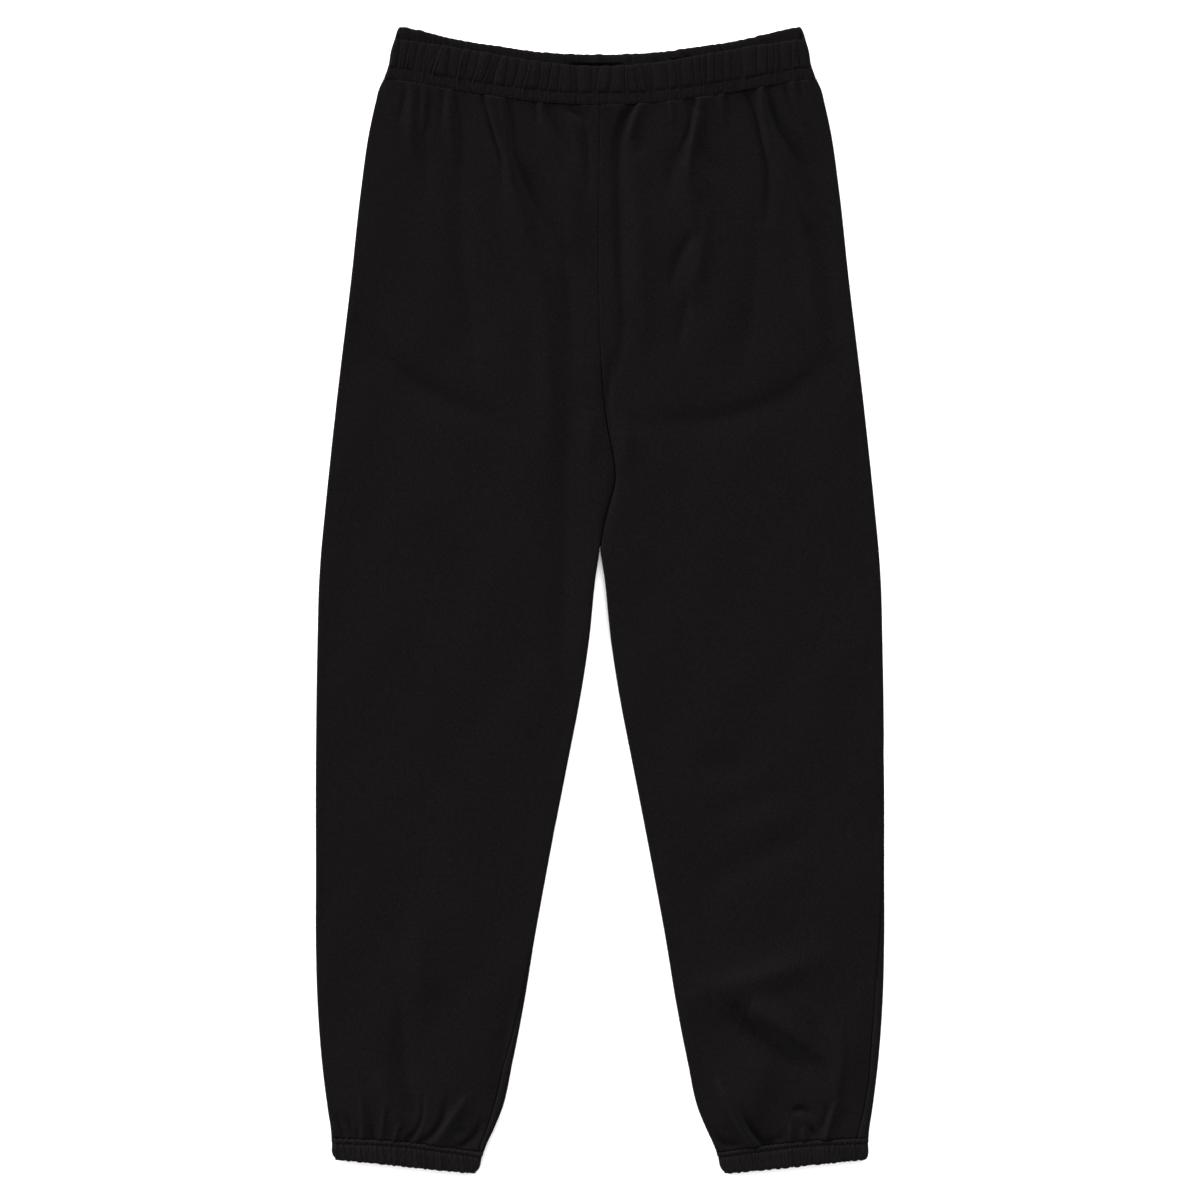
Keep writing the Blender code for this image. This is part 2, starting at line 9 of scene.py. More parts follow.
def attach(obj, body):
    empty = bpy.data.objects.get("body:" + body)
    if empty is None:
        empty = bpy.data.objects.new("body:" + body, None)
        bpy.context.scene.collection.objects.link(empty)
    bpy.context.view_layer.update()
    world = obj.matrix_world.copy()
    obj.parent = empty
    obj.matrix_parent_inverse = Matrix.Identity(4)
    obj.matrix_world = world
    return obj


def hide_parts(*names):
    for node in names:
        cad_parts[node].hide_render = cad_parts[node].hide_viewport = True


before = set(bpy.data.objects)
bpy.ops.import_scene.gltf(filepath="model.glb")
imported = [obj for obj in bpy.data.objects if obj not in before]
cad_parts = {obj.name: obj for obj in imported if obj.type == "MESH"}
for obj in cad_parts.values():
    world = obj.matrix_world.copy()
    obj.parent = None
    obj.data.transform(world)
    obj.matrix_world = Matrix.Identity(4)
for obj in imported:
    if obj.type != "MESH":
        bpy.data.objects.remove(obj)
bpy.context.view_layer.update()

# Jogger sweatpants laid flat, front up, modelled in millimetres: "across" from the centre line,
# "down" from the highest point of the waist, "height" above the floor.
print("frame:", ", ".join(sorted(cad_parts)))


def table(columns, rows):  # rows of numbers with named columns; a row may leave out a last number of 0
    columns = columns.split()
    return np.array([(*row, 0)[:len(columns)] for row in rows], dtype=[(column, "f8") for column in columns])


millimetre = 0.001
left = 1  # the wearer's left leg lies at +X
right = -1
sides = {"left": left, "right": right}

garment = {
    "length": 1040.0,  # top of the waist to the lowest hem
    "cloth": 2.3,  # thickness of the fleece
    "seamGap": 0.12,  # between two pieces that are sewn together
    "crotch": 473.0,
    "backSplit": (455.0, 492.0),  # the back seam opens into the two inseams here
    "edgeRun": 7.0,  # flat cloth beside a rolled side
    "shortestRoll": 3.0,
    "flatSide": 0.6,  # width of a side's rounding over its height
    "creaseSide": 1.1,  # and of the rounding into the crease between the legs
    "creaseEnd": 12.0,  # that rounding is over this far below the crotch
    "creaseFade": 40.0,  # and fades over this length
    "seamGroove": 0.35,  # depth of the groove along a sewn seam
    "rolledGroove": 0.9,  # and where a seam has rolled onto the front
    "grooveReach": {"front": 1.0, "back": 2.4},  # half width of that groove
    "settling": 4,  # passes in which a point's place settles
}

camera = {
    "lens": 100.0,  # millimetres, like the sensor
    "sensor": 36.0,
    "view": 1.0868,  # metres across the picture
    "aim": 0.004,  # at this height above the floor
    "farthest": 100.0,
}


def setCamera():
    data = bpy.data.cameras.new("camera")
    data.lens = camera["lens"]
    data.sensor_width = camera["sensor"]
    data.clip_end = camera["farthest"]
    seen = bpy.data.objects.new("camera", data)
    seen.location = (0, 0, camera["view"] * camera["lens"] / camera["sensor"] + camera["aim"])
    bpy.context.scene.collection.objects.link(seen)
    bpy.context.scene.camera = seen


studio = {
    "floor": 8.0,  # half the floor's width, metres
    "floorSurface": {"Base Color": (0.93, 0.93, 0.93, 1), "Roughness": 1, "Specular IOR Level": 0},
    "air": 1.25,  # even light from all round
    # far lamps: bearing from +X towards +Y, height and apparent size, in degrees
    "lamps": table("bearing height size strength", [
        (82, 15, 22, 6.3),  # main, from the waist
        (150, 13.5, 22, 7.2),  # main, from the wearer's right
        (80, 75, 60, 0.5),  # overhead
    ]),
}


def setStudio():
    scene = bpy.context.scene
    scene.view_settings.view_transform = "Standard"
    world = bpy.data.worlds.new("studio")
    world.use_nodes = True
    background = world.node_tree.nodes["Background"].inputs
    background["Color"].default_value = (1, 1, 1, 1)
    background["Strength"].default_value = studio["air"]
    scene.world = world
    for k, lamp in enumerate(studio["lamps"]):
        data = bpy.data.lights.new("lamp%d" % k, "SUN")
        data.angle = math.radians(lamp["size"])
        data.energy = lamp["strength"]
        light = bpy.data.objects.new(data.name, data)
        bearing, height = math.radians(lamp["bearing"]), math.radians(lamp["height"])
        light.location = (math.cos(bearing) * math.cos(height), math.sin(bearing) * math.cos(height),
                          math.sin(height))
        light.rotation_euler = light.location.to_track_quat("Z", "Y").to_euler()
        scene.collection.objects.link(light)
    ground = bmesh.new()
    bmesh.ops.create_grid(ground, x_segments=1, y_segments=1, size=studio["floor"])
    floor = finishPiece("floor", ground, newMaterial("paleFloor", studio["floorSurface"])[0])


def newMaterial(name, surface):
    material = bpy.data.materials.new(name)
    material.use_nodes = True
    shader = material.node_tree.nodes["Principled BSDF"]
    for socket, value in surface.items():
        shader.inputs[socket].default_value = value
    return material, material.node_tree, shader


def addNode(tree, kind, **inputs):  # a shader node with its inputs set by name, or linked
    node = tree.nodes.new(kind)
    for name, value in inputs.items():
        socket = node.inputs[name]
        if isinstance(value, bpy.types.NodeSocket):
            tree.links.new(value, socket)
        else:
            socket.default_value = value
    return node


fleece = {
    "shadedHollow": (0.00264, 0.0023, 0.00237, 1),  # painted shade: darker colour down in the nap's hollows
    "litTip": (0.00388, 0.00337, 0.00347, 1),  # painted highlight: paler colour on the nap's tips
    "surface": {"Roughness": 0.95, "Specular IOR Level": 0.01,
                "Sheen Weight": 0.004, "Sheen Roughness": 0.6},
    "nap": 620.0,  # tufts for each metre
    "napStretch": 0.55,  # along the leg they are longer
    "napRange": (0.35, 0.65),  # of the noise, from the painted-shade hollow colour to the painted-highlight tips'
    "patches": 16.0,  # soft uneven patches for each metre
    "patchWeight": 0.14,  # beside 1 for the nap
    "loops": 1500.0,  # knitted loops for each metre
    "tuftHeight": 0.0003,  # metres
    "loopHeight": 0.0002,
}
cuffLook = {  # a little paler
    **fleece,
    # painted shade in the nap's hollows and painted highlight on its tips, as on the fleece
    "shadedHollow": (0.0032, 0.00279, 0.00287, 1),
    "litTip": (0.0047, 0.0041, 0.0042, 1),
}


def makeFleece(name, look):
    material, tree, shader = newMaterial(name, look["surface"])
    place = addNode(tree, "ShaderNodeTexCoord").outputs["Object"]
    stretched = addNode(tree, "ShaderNodeMapping", Vector=place, Scale=(1, look["napStretch"], 1))
    nap = addNode(tree, "ShaderNodeTexNoise", Vector=stretched.outputs["Vector"], Scale=look["nap"],
                  Detail=4.0, Roughness=0.65)
    patches = addNode(tree, "ShaderNodeTexNoise", Vector=place, Scale=look["patches"], Detail=3.0)
    loops = addNode(tree, "ShaderNodeTexVoronoi", Vector=stretched.outputs["Vector"], Scale=look["loops"])
    tone = addNode(tree, "ShaderNodeMath")
    tone.operation = "MULTIPLY_ADD"
    tree.links.new(patches.outputs["Fac"], tone.inputs[0])
    tone.inputs[1].default_value = look["patchWeight"]
    tree.links.new(nap.outputs["Fac"], tone.inputs[2])
    ramp = addNode(tree, "ShaderNodeMapRange", Value=tone.outputs["Value"])
    ramp.inputs["From Min"].default_value = look["napRange"][0] + look["patchWeight"] / 2
    ramp.inputs["From Max"].default_value = look["napRange"][1] + look["patchWeight"] / 2
    # the nap noise that raises the tufts' bump also sets the colour: painted shade where it is low, painted
    # highlight where it is high; the patches vary the tone at random
    colour = addNode(tree, "ShaderNodeValToRGB", Fac=ramp.outputs["Result"])
    colour.color_ramp.elements[0].color = look["shadedHollow"]
    colour.color_ramp.elements[1].color = look["litTip"]
    tree.links.new(colour.outputs["Color"], shader.inputs["Base Color"])
    tufts = addNode(tree, "ShaderNodeBump", Height=nap.outputs["Fac"], Distance=look["tuftHeight"])
    knit = addNode(tree, "ShaderNodeBump", Height=loops.outputs["Distance"], Distance=look["loopHeight"],
                   Normal=tufts.outputs["Normal"])
    tree.links.new(knit.outputs["Normal"], shader.inputs["Normal"])
    return material


thread = {
    "surface": {"Base Color": (0.0034, 0.003, 0.0031, 1), "Roughness": 0.8, "Specular IOR Level": 0.02},
    "twists": 2600.0,  # for each metre
    "plyHeight": 0.0002,  # metres
}


def makeThread():
    material, tree, shader = newMaterial("sewingThread", thread["surface"])
    place = addNode(tree, "ShaderNodeTexCoord").outputs["Object"]
    twist = addNode(tree, "ShaderNodeTexNoise", Vector=place, Scale=thread["twists"], Detail=2.0)
    ply = addNode(tree, "ShaderNodeBump", Height=twist.outputs["Fac"], Distance=thread["plyHeight"])
    tree.links.new(ply.outputs["Normal"], shader.inputs["Normal"])
    return material


# half of the outline, the same on both legs: side seam, inseam, and height of the leg lying flat
outline = table("down outer inner height", [
    (0, 184, 0, 8.4),
    (12, 186, 0, 8.4),
    (22, 189, 0, 8.4),
    (36, 191.5, 0, 8.4),
    (48, 196, 0, 8.4),
    (58, 200.5, 0, 8.4),
    (70, 203.5, 0, 8.3),
    (95, 209, 0, 8.2),
    (147, 216.5, 0, 7.9),
    (229, 225.5, 0, 7.7),
    (338, 238.5, 0, 7.5),
    (447, 250, 0, 7.5),
    (473, 252.5, 0, 7.5),
    (502, 254.5, 4, 7.5),
    (556, 256, 9.5, 7.5),
    (611, 257, 18, 7.5),
    (665, 257.5, 28.5, 7.5),
    (774, 257.5, 49.5, 7.5),
    (829, 257.5, 59.5, 7.5),
    (884, 256, 68.5, 7.6),
    (938, 252, 79, 7.8),
    (982, 246.5, 89, 8.1),
    (1000, 243.8, 96.5, 8.3),
    (1014, 243, 103, 8.4),
    (1024, 243, 106.5, 8.4),
    (1040, 238.5, 109.5, 8.4),
])

# lines across the waist, from the centre to the side
waist = table("across backTop frontTop stitch seam", [
    (0, 25, 36.6, 61.6, 72),
    (20, 24.7, 36.4, 61.7, 71.8),
    (32, 24.3, 35.2, 61.6, 71.2),
    (61, 22, 32, 58.5, 69),
    (87, 18, 27.5, 55.5, 65.5),
    (113, 14.5, 23, 51.5, 62),
    (136, 10, 19, 48, 58),
    (160, 4, 15.5, 43, 53.5),
    (178, 0.3, 13, 40, 50.5),
    (200, 0, 12, 38.5, 48),
])

# lines across a cuff, from the inseam to the side seam
cuff = table("across seam hem", [
    (103, 1020.5, 1040),
    (120, 1018, 1039.5),
    (134, 1016, 1038.3),
    (155, 1013, 1036.3),
    (185, 1009.5, 1033),
    (215, 1008, 1030),
    (245, 1007, 1027),
])

# where the two fronts meet: the centre seam, then the crease between the legs.
# "facing" is the angle the cloth has turned to at the seam, 90 flat and 0 upright
centreLine = table("down x facing", [
    (50, 0, 84),
    (280, 0, 82),
    (310, 1.2, 66),
    (335, 2.9, 42),
    (361, 6.2, 24),
    (385, 10.9, 14),
    (400, 13.2, 10),
    (413, 13.4, 8),
    (434, 8, 5),
    (455, 2.9, 2),
    (473, 0, 0),
])

# how far two seams have rolled from the side of the leg onto its front, seen from above
seamRolls = {
    (right, "inner"): table("down inward", [
        (720, 0),
        (829, 1),
        (875, 3),
        (920, 5.5),
        (946, 7.7),
        (978, 8.2),
        (1000, 6.4),
        (1025, 4.2),
    ]),
    (left, "outer"): table("down inward", [
        (650, 0),
        (793, 2.7),
        (864, 7),
        (916, 7.7),
        (956, 6.6),
        (985, 7.7),
        (1012, 11),
    ]),
}


def smoothCurve(places, values):  # reads a smooth curve through the given places
    slopes = np.gradient(values, places)

    def valueAt(place):
        place = np.clip(place, places[0], places[-1])
        k = np.clip(np.searchsorted(places, place, side="right") - 1, 0, len(places) - 2)
        step = places[k + 1] - places[k]
        t = (place - places[k]) / step
        rise = 3 * t ** 2 - 2 * t ** 3
        bend = t * (1 - t) ** 2 * step * slopes[k] + t ** 2 * (t - 1) * step * slopes[k + 1]
        return values[k] * (1 - rise) + values[k + 1] * rise + bend

    return valueAt


def ease(share):  # 0 to 1 with a soft start and end
    share = np.clip(share, 0, 1)
    return share * share * (3 - 2 * share)


outerAt = smoothCurve(outline["down"], outline["outer"])
innerCurve = smoothCurve(outline["down"], outline["inner"])
heightAt = smoothCurve(outline["down"], outline["height"])
centreXAt = smoothCurve(centreLine["down"], centreLine["x"])
centreFacingAt = smoothCurve(centreLine["down"], centreLine["facing"])
backTopAt = smoothCurve(waist["across"], waist["backTop"])
frontTopAt = smoothCurve(waist["across"], waist["frontTop"])
frontStitchAt = smoothCurve(waist["across"], waist["stitch"])
frontSeamAt = smoothCurve(waist["across"], waist["seam"])
frontCuffSeamAt = smoothCurve(cuff["across"], cuff["seam"])
cuffHemAt = smoothCurve(cuff["across"], cuff["hem"])


def innerAt(down):
    return np.maximum(0.0, innerCurve(down))


# uneven waves of gathered cloth: length (over 2 pi), how far the spacing wanders, in radians, and the
# length (over 2 pi) in which it wanders
gatherWaves = {
    "ripple": (0.75, 1.5, 8.3),
    "rippleFade": (11.0, 0.0, 1.0),
    "pocket": (2.4, 1.5, 13.0),
    "widePocket": (5.7, 0.0, 1.0),
    "steepTuck": (0.78, 2.4, 6.1),
    "slantedTuck": (1.15, 2.0, 10.7),
    "tuckFade": (5.3, 2.0, 17.0),
}


def gatherWave(name, across, shift=0.0, wanderShift=0.0):  # between -1 and 1
    length, wander, wanderLength = gatherWaves[name]
    return np.sin(across / length + wander * np.sin(across / wanderLength + wanderShift) + shift)


# a back seam climbs to the side; elastic makes the front one waver, by its "ripple"
seams = {
    "waist": {"front": frontSeamAt, "back": 61.5, "climb": 0.0725, "ripple": 0.25},
    "cuff": {"front": frontCuffSeamAt, "back": 1030.6, "climb": 0.0986, "ripple": 0.45},
}


def seamAt(which, across, facingUp):  # waist or cuff seam, between its back and its front run
    seam = seams[which]
    back = seam["back"] - seam["climb"] * across
    ripple = gatherWave("ripple", across) * (0.6 + 0.4 * gatherWave("rippleFade", across))
    return back + (seam["front"](across) + seam["ripple"] * ripple - back) * facingUp


def aroundEdge(reach, radius, flat):  # inward, height and facing of cloth that lies "reach" round a side
    quarter = radius * math.pi / 2
    turn = np.clip(reach, -quarter, quarter) / radius
    beyond = np.maximum(0.0, np.abs(reach) - quarter)
    return flat * radius * (1 - np.cos(turn)) + beyond, radius * (1 + np.sin(turn)), turn


def metres(across, down, height):
    return np.stack((across, garment["length"] / 2 - down, height), axis=-1) * millimetre


def finishPiece(name, shape, material, recalculate=False):
    if recalculate:
        bmesh.ops.recalc_face_normals(shape, faces=shape.faces[:])
        if shape.calc_volume(signed=True) < 0:  # a ring can come out inside out
            bmesh.ops.reverse_faces(shape, faces=shape.faces[:])
    mesh = bpy.data.meshes.new(name)
    shape.to_mesh(mesh)
    shape.free()
    mesh.shade_smooth()
    mesh.materials.append(material)
    piece = bpy.data.objects.new(name, mesh)
    bpy.context.scene.collection.objects.link(piece)
    return piece


def placeGrid(shape, spot):  # "spot" places points whose grid coordinates run from 0 to 1
    mesh = bpy.data.meshes.new("grid")
    shape.to_mesh(mesh)
    grid = np.empty(len(mesh.vertices) * 3)
    mesh.vertices.foreach_get("co", grid)
    mesh.vertices.foreach_set("co", spot(grid.reshape(-1, 3) + 0.5).ravel())
    shape.clear()
    shape.from_mesh(mesh)
    bpy.data.meshes.remove(mesh)


# ranges in which the creases that elastic gathers differ
chances = {
    "width": (0.3, 2.0),  # of a billow between two creases, before they are fitted to the ring
    "slant": (-2.0, 2.0),
    "lip": (0.2, 1.4),  # height of the lip that a crease raises
    "sway": (-1.0, 1.0),
    "puff": (0.6, 1.25),  # height of a billow
    "fade": (0.1, 0.9),  # of the lip, towards the folded edge
}


def crumpled(edges, stitches, lips, seed):  # creases with their own sway, and billows of uneven height
    chance = np.random.default_rng(seed)
    sways, puffs, fades = (chance.uniform(*chances[key], len(edges)) for key in ("sway", "puff", "fade"))
    return table("edge stitch lip sway puff fade", list(zip(edges, stitches, lips, sways, puffs, fades)))


def randomCreases(count, low, high, lean, seed):  # "lean" is how far they slant, edge to stitching
    chance = np.random.default_rng(seed)
    widths = chance.uniform(*chances["width"], count)
    edges = low + (high - low) * np.concatenate(([0], np.cumsum(widths))) / widths.sum()
    slants = lean + chance.uniform(*chances["slant"], count + 1)
    return crumpled(edges, edges + slants, chance.uniform(*chances["lip"], count + 1), seed + 1)


billows = {
    "lowest": 0.4,  # height share of the narrowest one
    "gain": 0.04,  # and what each millimetre of width adds
    "widest": 13.0,
    "lipPlace": 1.3,  # from the crease to the top of its lip
    "lipWidth": 0.8,
    "farLip": 0.3,  # height share of the lip on its other side
    "farLipPlace": 1.2,
}


def billow(creases, across, place):  # height shares of billows and of lips; place 0 edge, 1 stitching
    place = np.clip(place, 0, 1)
    at = creases["edge"] + (creases["stitch"] - creases["edge"]) * place[:, None]
    at = at + creases["sway"] * np.sin(math.pi * place)[:, None]
    k = np.clip((at <= across[:, None]).sum(axis=1) - 1, 0, len(creases) - 2)
    rows = np.arange(len(across))
    width = at[rows, k + 1] - at[rows, k]
    t = np.clip((across - at[rows, k]) / width, 0, 1)
    tallest = billows["lowest"] + billows["gain"] * np.minimum(width, billows["widest"])
    arch = np.sqrt(np.sin(math.pi * np.clip(t, 0.001, 0.999))) * tallest * creases["puff"][k]
    faded = creases["lip"][k] * (1 - creases["fade"][k] * (1 - place) ** 2)
    lip = faded * np.exp(-((t * width - billows["lipPlace"]) / billows["lipWidth"]) ** 2)
    farOff = ((1 - t) * width - billows["farLipPlace"]) / billows["lipWidth"]
    return arch, lip + billows["farLip"] * creases["lip"][k + 1] * np.exp(-farOff ** 2)


def pockets(across):  # where cloth sinks deeper into a seam that gathers it, 0 to 1
    waves = gatherWave("pocket", across) + 0.5 * gatherWave("widePocket", across, 1.0)
    return np.clip(0.2 + 0.75 * waves, 0, 1)


def tucks(across, down):  # small uneven waves of gathered cloth, between about -1 and 1
    steep = gatherWave("steepTuck", across, down / 3.2, down / 8.0)
    slanted = gatherWave("slantedTuck", across, -down / 1.9, 0.6)
    return (0.6 * steep + 0.5 * slanted) * (0.6 + 0.4 * gatherWave("tuckFade", across))


mouth = {
    "shut": 0.9,  # rise of the back's inner face, where the waist lies shut
    "end": (0.4, 145.0, 35.0),  # near both ends: how much more, from where, over what length
    "open": (2.3, -3.0, 28.0),  # drop where the waist stands open: how far, middle and half length
    "dashes": (0.8, 68.0, 26.0),  # the same beside it, in places only
    "dropPlace": 0.31,  # place where the drop begins, under the front's edge
    "openPlace": 0.02,  # how much later where it stands open
    "dropRun": 0.05,
    "shoulder": 1.2,  # a drop is whole over a fifth of its half length
}


def waistMouth(across, place):  # rise of the back's inner face; it drops under the front's folded edge
    endRise, endStart, endRun = mouth["end"]
    openDrop, openMiddle, openReach = mouth["open"]
    dashDrop, dashMiddle, dashReach = mouth["dashes"]
    opened = ease(mouth["shoulder"] - np.abs(across - openMiddle) / openReach)
    dashed = pockets(across) * ease(mouth["shoulder"] - np.abs(across - dashMiddle) / dashReach)
    begun = ease((place - mouth["dropPlace"] - mouth["openPlace"] * opened) / mouth["dropRun"])
    rise = mouth["shut"] * (1 - opened) + endRise * ease((np.abs(across) - endStart) / endRun)
    return rise - begun * (openDrop * opened + dashDrop * dashed)


# where the front's creases meet the folded edge and the stitching, and how high their lips are
waistCreases = crumpled(*np.transpose([
    (-190, -195, 0.3),
    (-181, -184, 0.6),
    (-172, -177, 1),
    (-163.5, -168.5, 0.5),
    (-156, -161.5, 1),
    (-143.5, -152.5, 1.2),
    (-135.7, -138.5, 0.5),
    (-123.5, -130, 1.4),
    (-116, -121.5, 0.6),
    (-108.5, -116, 0.9),
    (-96.7, -106.7, 1.5),
    (-89, -97, 0.4),
    (-82, -86.2, 0.8),
    (-73, -79, 0.4),
    (-64, -70.6, 1.4),
    (-53.5, -55.7, 1),
    (-43, -47.6, 1),
    (-35.7, -38.5, 0.9),
    (-26.7, -25.1, 1.4),
    (-20, -20.5, 0.3),
    (-7.5, -7.5, 0.5),
    (0.3, -3.5, 0.9),
    (10.6, 8, 0.5),
    (23, 23.5, 1.2),
    (29.7, 34.9, 1.2),
    (38.2, 42.6, 1.3),
    (47, 48.5, 0.4),
    (59.3, 62.2, 0.9),
    (66, 70.5, 1),
    (74, 75, 0.3),
    (83.3, 85.6, 0.8),
    (91.8, 92.7, 1),
    (95.8, 96.6, 0.6),
    (104.2, 104, 1.2),
    (112, 112.5, 0.6),
    (118.6, 119.3, 1.4),
    (126.7, 129.7, 0.8),
    (142.1, 142.1, 0.9),
    (151.8, 152.2, 1.2),
    (157.5, 157.8, 1.4),
    (162, 163, 0.5),
    (172.8, 173, 0.8),
    (179, 181, 0.6),
    (188, 192, 0.4),
]), seed=5)

# once round the wall: place (0 folded edge, 1 the stitching next to it, 2 seam), depth under the outer
# face, share of the billows' height, and 1 on the inner face
waistSection = table("place depth billow inside", [
    (-0.012, 2.5, 0.3),
    (-0.0115, 1.45, 0.45),
    (-0.008, 0.85, 0.56),
    (0, 0.5, 0.64),
    (0.03, 0.33, 0.76),
    (0.08, 0.2, 0.88),
    (0.17, 0.1, 0.96),
    (0.34, 0.03, 1),
    (0.46, 0, 1),
    (0.56, 0, 1),
    (0.66, 0, 1.02),
    (0.75, 0, 1.06),
    (0.82, 0, 1.1),
    (0.895, 0.02, 1.08),
    (0.935, 0.08, 0.98),
    (0.962, 0.17, 0.74),
    (0.985, 0.27, 0.46),
    (1.01, 0.3, 0.34),
    (1.06, 0.26, 0.34),
    (1.16, 0.24, 0.38),
    (1.3, 0.22, 0.42),
    (1.5, 0.22, 0.42),
    (1.68, 0.24, 0.4),
    (1.8, 0.28, 0.36),
    (1.87, 0.32, 0.32),
    (1.92, 0.36, 0.28),
    (1.96, 0.4, 0.26),
    (2, 0.46, 0.24),
    (2, 2.6, 0),
    (2, 4.2, 0, 1),
    (1.5, 4.2, 0, 1),
    (1, 4.2, 0.1, 1),
    (0.6, 4.2, 0.4, 1),
    (0.52, 4.2, 0.5, 1),
    (0.44, 4.2, 0.5, 1),
    (0.385, 4.2, 0.6, 1),
    (0.36, 4.2, 0.6, 1),
    (0.335, 4.2, 0.6, 1),
    (0.31, 4.2, 0.6, 1),
    (0.26, 4.2, 0.7, 1),
    (0.19, 4.18, 0.7, 1),
    (0.13, 4.12, 0.8, 1),
    (0.07, 4, 0.8, 1),
    (0.025, 3.7, 0.7, 1),
    (0, 3.1, 0.5, 1),
])

cuffSection = table("place depth billow inside", [
    (-0.012, 2, 0.3),
    (-0.008, 1.3, 0.6),
    (0.02, 0.7, 0.82),
    (0.07, 0.25, 0.95),
    (0.14, 0.05, 1),
    (0.26, 0, 1),
    (0.4, 0, 1),
    (0.54, 0, 1.02),
    (0.68, 0, 1.05),
    (0.8, 0.05, 1),
    (0.88, 0.2, 0.85),
    (0.94, 0.5, 0.6),
    (0.99, 0.8, 0.35),
    (1.05, 0.75, 0.28),
    (1.16, 0.4, 0.32),
    (1.32, 0.05, 0.36),
    (1.5, -0.1, 0.38),
    (1.68, -0.05, 0.34),
    (1.82, 0.2, 0.26),
    (1.92, 0.55, 0.18),
    (2, 0.8, 0.1),
    (2, 3.6, 0, 1),
    (1, 3.6, 0, 1),
    (0.5, 3.6, 0.2, 1),
    (0.2, 3.58, 0.5, 1),
    (0.08, 3.45, 0.6, 1),
    (0.02, 3.15, 0.6, 1),
    (0, 2.7, 0.45, 1),
])

# what the waistband and the cuffs share; a "run" is places and the share of a form's size at each
ringForms = {
    "meanBillow": 0.45,  # the front's billows rise and sink about this share of their height
    "backRound": 0.55,  # share of the section's depths on the underside
    "innerWave": 0.2,  # share of the front's waves on its inner face
    "backInner": 1.1,  # and of the back's waves on its inner face
    "pocketRun": ((0.93, 1.0, 1.07, 1.8, 1.93, 2.0), (0, 0.55, 0, 0, 0.32, 0.12)),
    "cornerRun": 0.6,  # an end of the folded edge rounds off up to this place
    "scallopRun": 0.2,  # and the edge is drawn in up to this one
    "scallopShare": (1.1, 1.2),  # a billow's height share that keeps the edge out; most that it draws in
}

waistband = {
    "height": 9.8,  # front and back lying on each other
    "rise": 2.0,  # of the billows
    "deepestBack": 0.9,  # how far creases sink into the underside
    "lipRun": ((0, 0.1, 0.9, 1.0, 1.3, 1.8, 2.0), (0.2, 0.42, 0.52, 0.45, 0.34, 0.2, 0.1)),
    "tuck": 0.28,  # height of the small tucks that the stitching gathers
    "tuckRun": ((0, 0.6, 0.95, 1.4, 1.9, 2.0), (0.25, 0.2, 0.7, 0.8, 1.1, 0.7)),
    "pocket": 0.9,  # how much deeper the stitched lines sink in places
    "mouth": waistMouth,
    "backStitch": 26.0,  # top edge to the upper stitching, at the back
    "scallop": 1.3,  # how far the folded edge draws in at a crease
    "frontColumns": 520,  # of the mesh
    "backColumns": 250,
    "endColumns": 9,
    "section": waistSection,
    "stitchRows": (1.0, 1.875),  # places of the two rows of stitching
    "stitchDepths": (0.95, 0.9),  # of the threads' middle, under the outer face
}

cuffs = {  # the same, with the hem as its folded edge and the lower stitching next to it
    "height": 9.0,
    "rise": 1.0,
    "deepestBack": 0.8,
    "lipRun": ((0, 0.1, 0.9, 1.0, 1.3, 1.8, 2.0), (0.3, 0.7, 0.8, 0.5, 0.35, 0.16, 0.0)),
    "tuck": 0.42,
    "tuckRun": ((0, 0.2, 0.9, 1.4, 1.9, 2.0), (0.9, 0.7, 0.9, 0.5, 1.0, 0.6)),
    "pocket": 0.9,
    "mouth": lambda across, place: 0.0,
    "strip": 4.5,  # between the seam and the lower stitching
    "scallop": 1.9,
    "frontColumns": 230,
    "backColumns": 110,
    "endColumns": 9,
    "section": cuffSection,
    "stitchRows": (1.01, 1.93),
    "stitchDepths": (1.15, 1.05),
}


def waistLines(across, facingUp):  # folded edge, upper stitching and seam
    backTop = backTopAt(across)
    edge = backTop + (frontTopAt(across) - backTop) * facingUp
    backStitch = backTop + waistband["backStitch"]
    stitch = backStitch + (frontStitchAt(across) - backStitch) * facingUp
    return edge, stitch, seamAt("waist", across, facingUp) - garment["seamGap"] / 2


def cuffLines(across, facingUp):
    seam = seamAt("cuff", across, facingUp) + garment["seamGap"] / 2
    return cuffHemAt(across), seam + cuffs["strip"], seam


def ringColumns(sizes):  # share of the way from the low end to the high one, and facing angle
    front = [(share, 90.0) for share in np.linspace(0, 1, sizes["frontColumns"] + 1)]
    angles = np.linspace(90, -90, sizes["endColumns"] + 1)[1:-1]
    highEnd = [(1.0, angle) for angle in angles]
    back = [(share, -90.0) for share in np.linspace(1, 0, sizes["backColumns"] + 1)]
    lowEnd = [(0.0, angle) for angle in angles[::-1]]
    return np.array(front + highEnd + back + lowEnd)


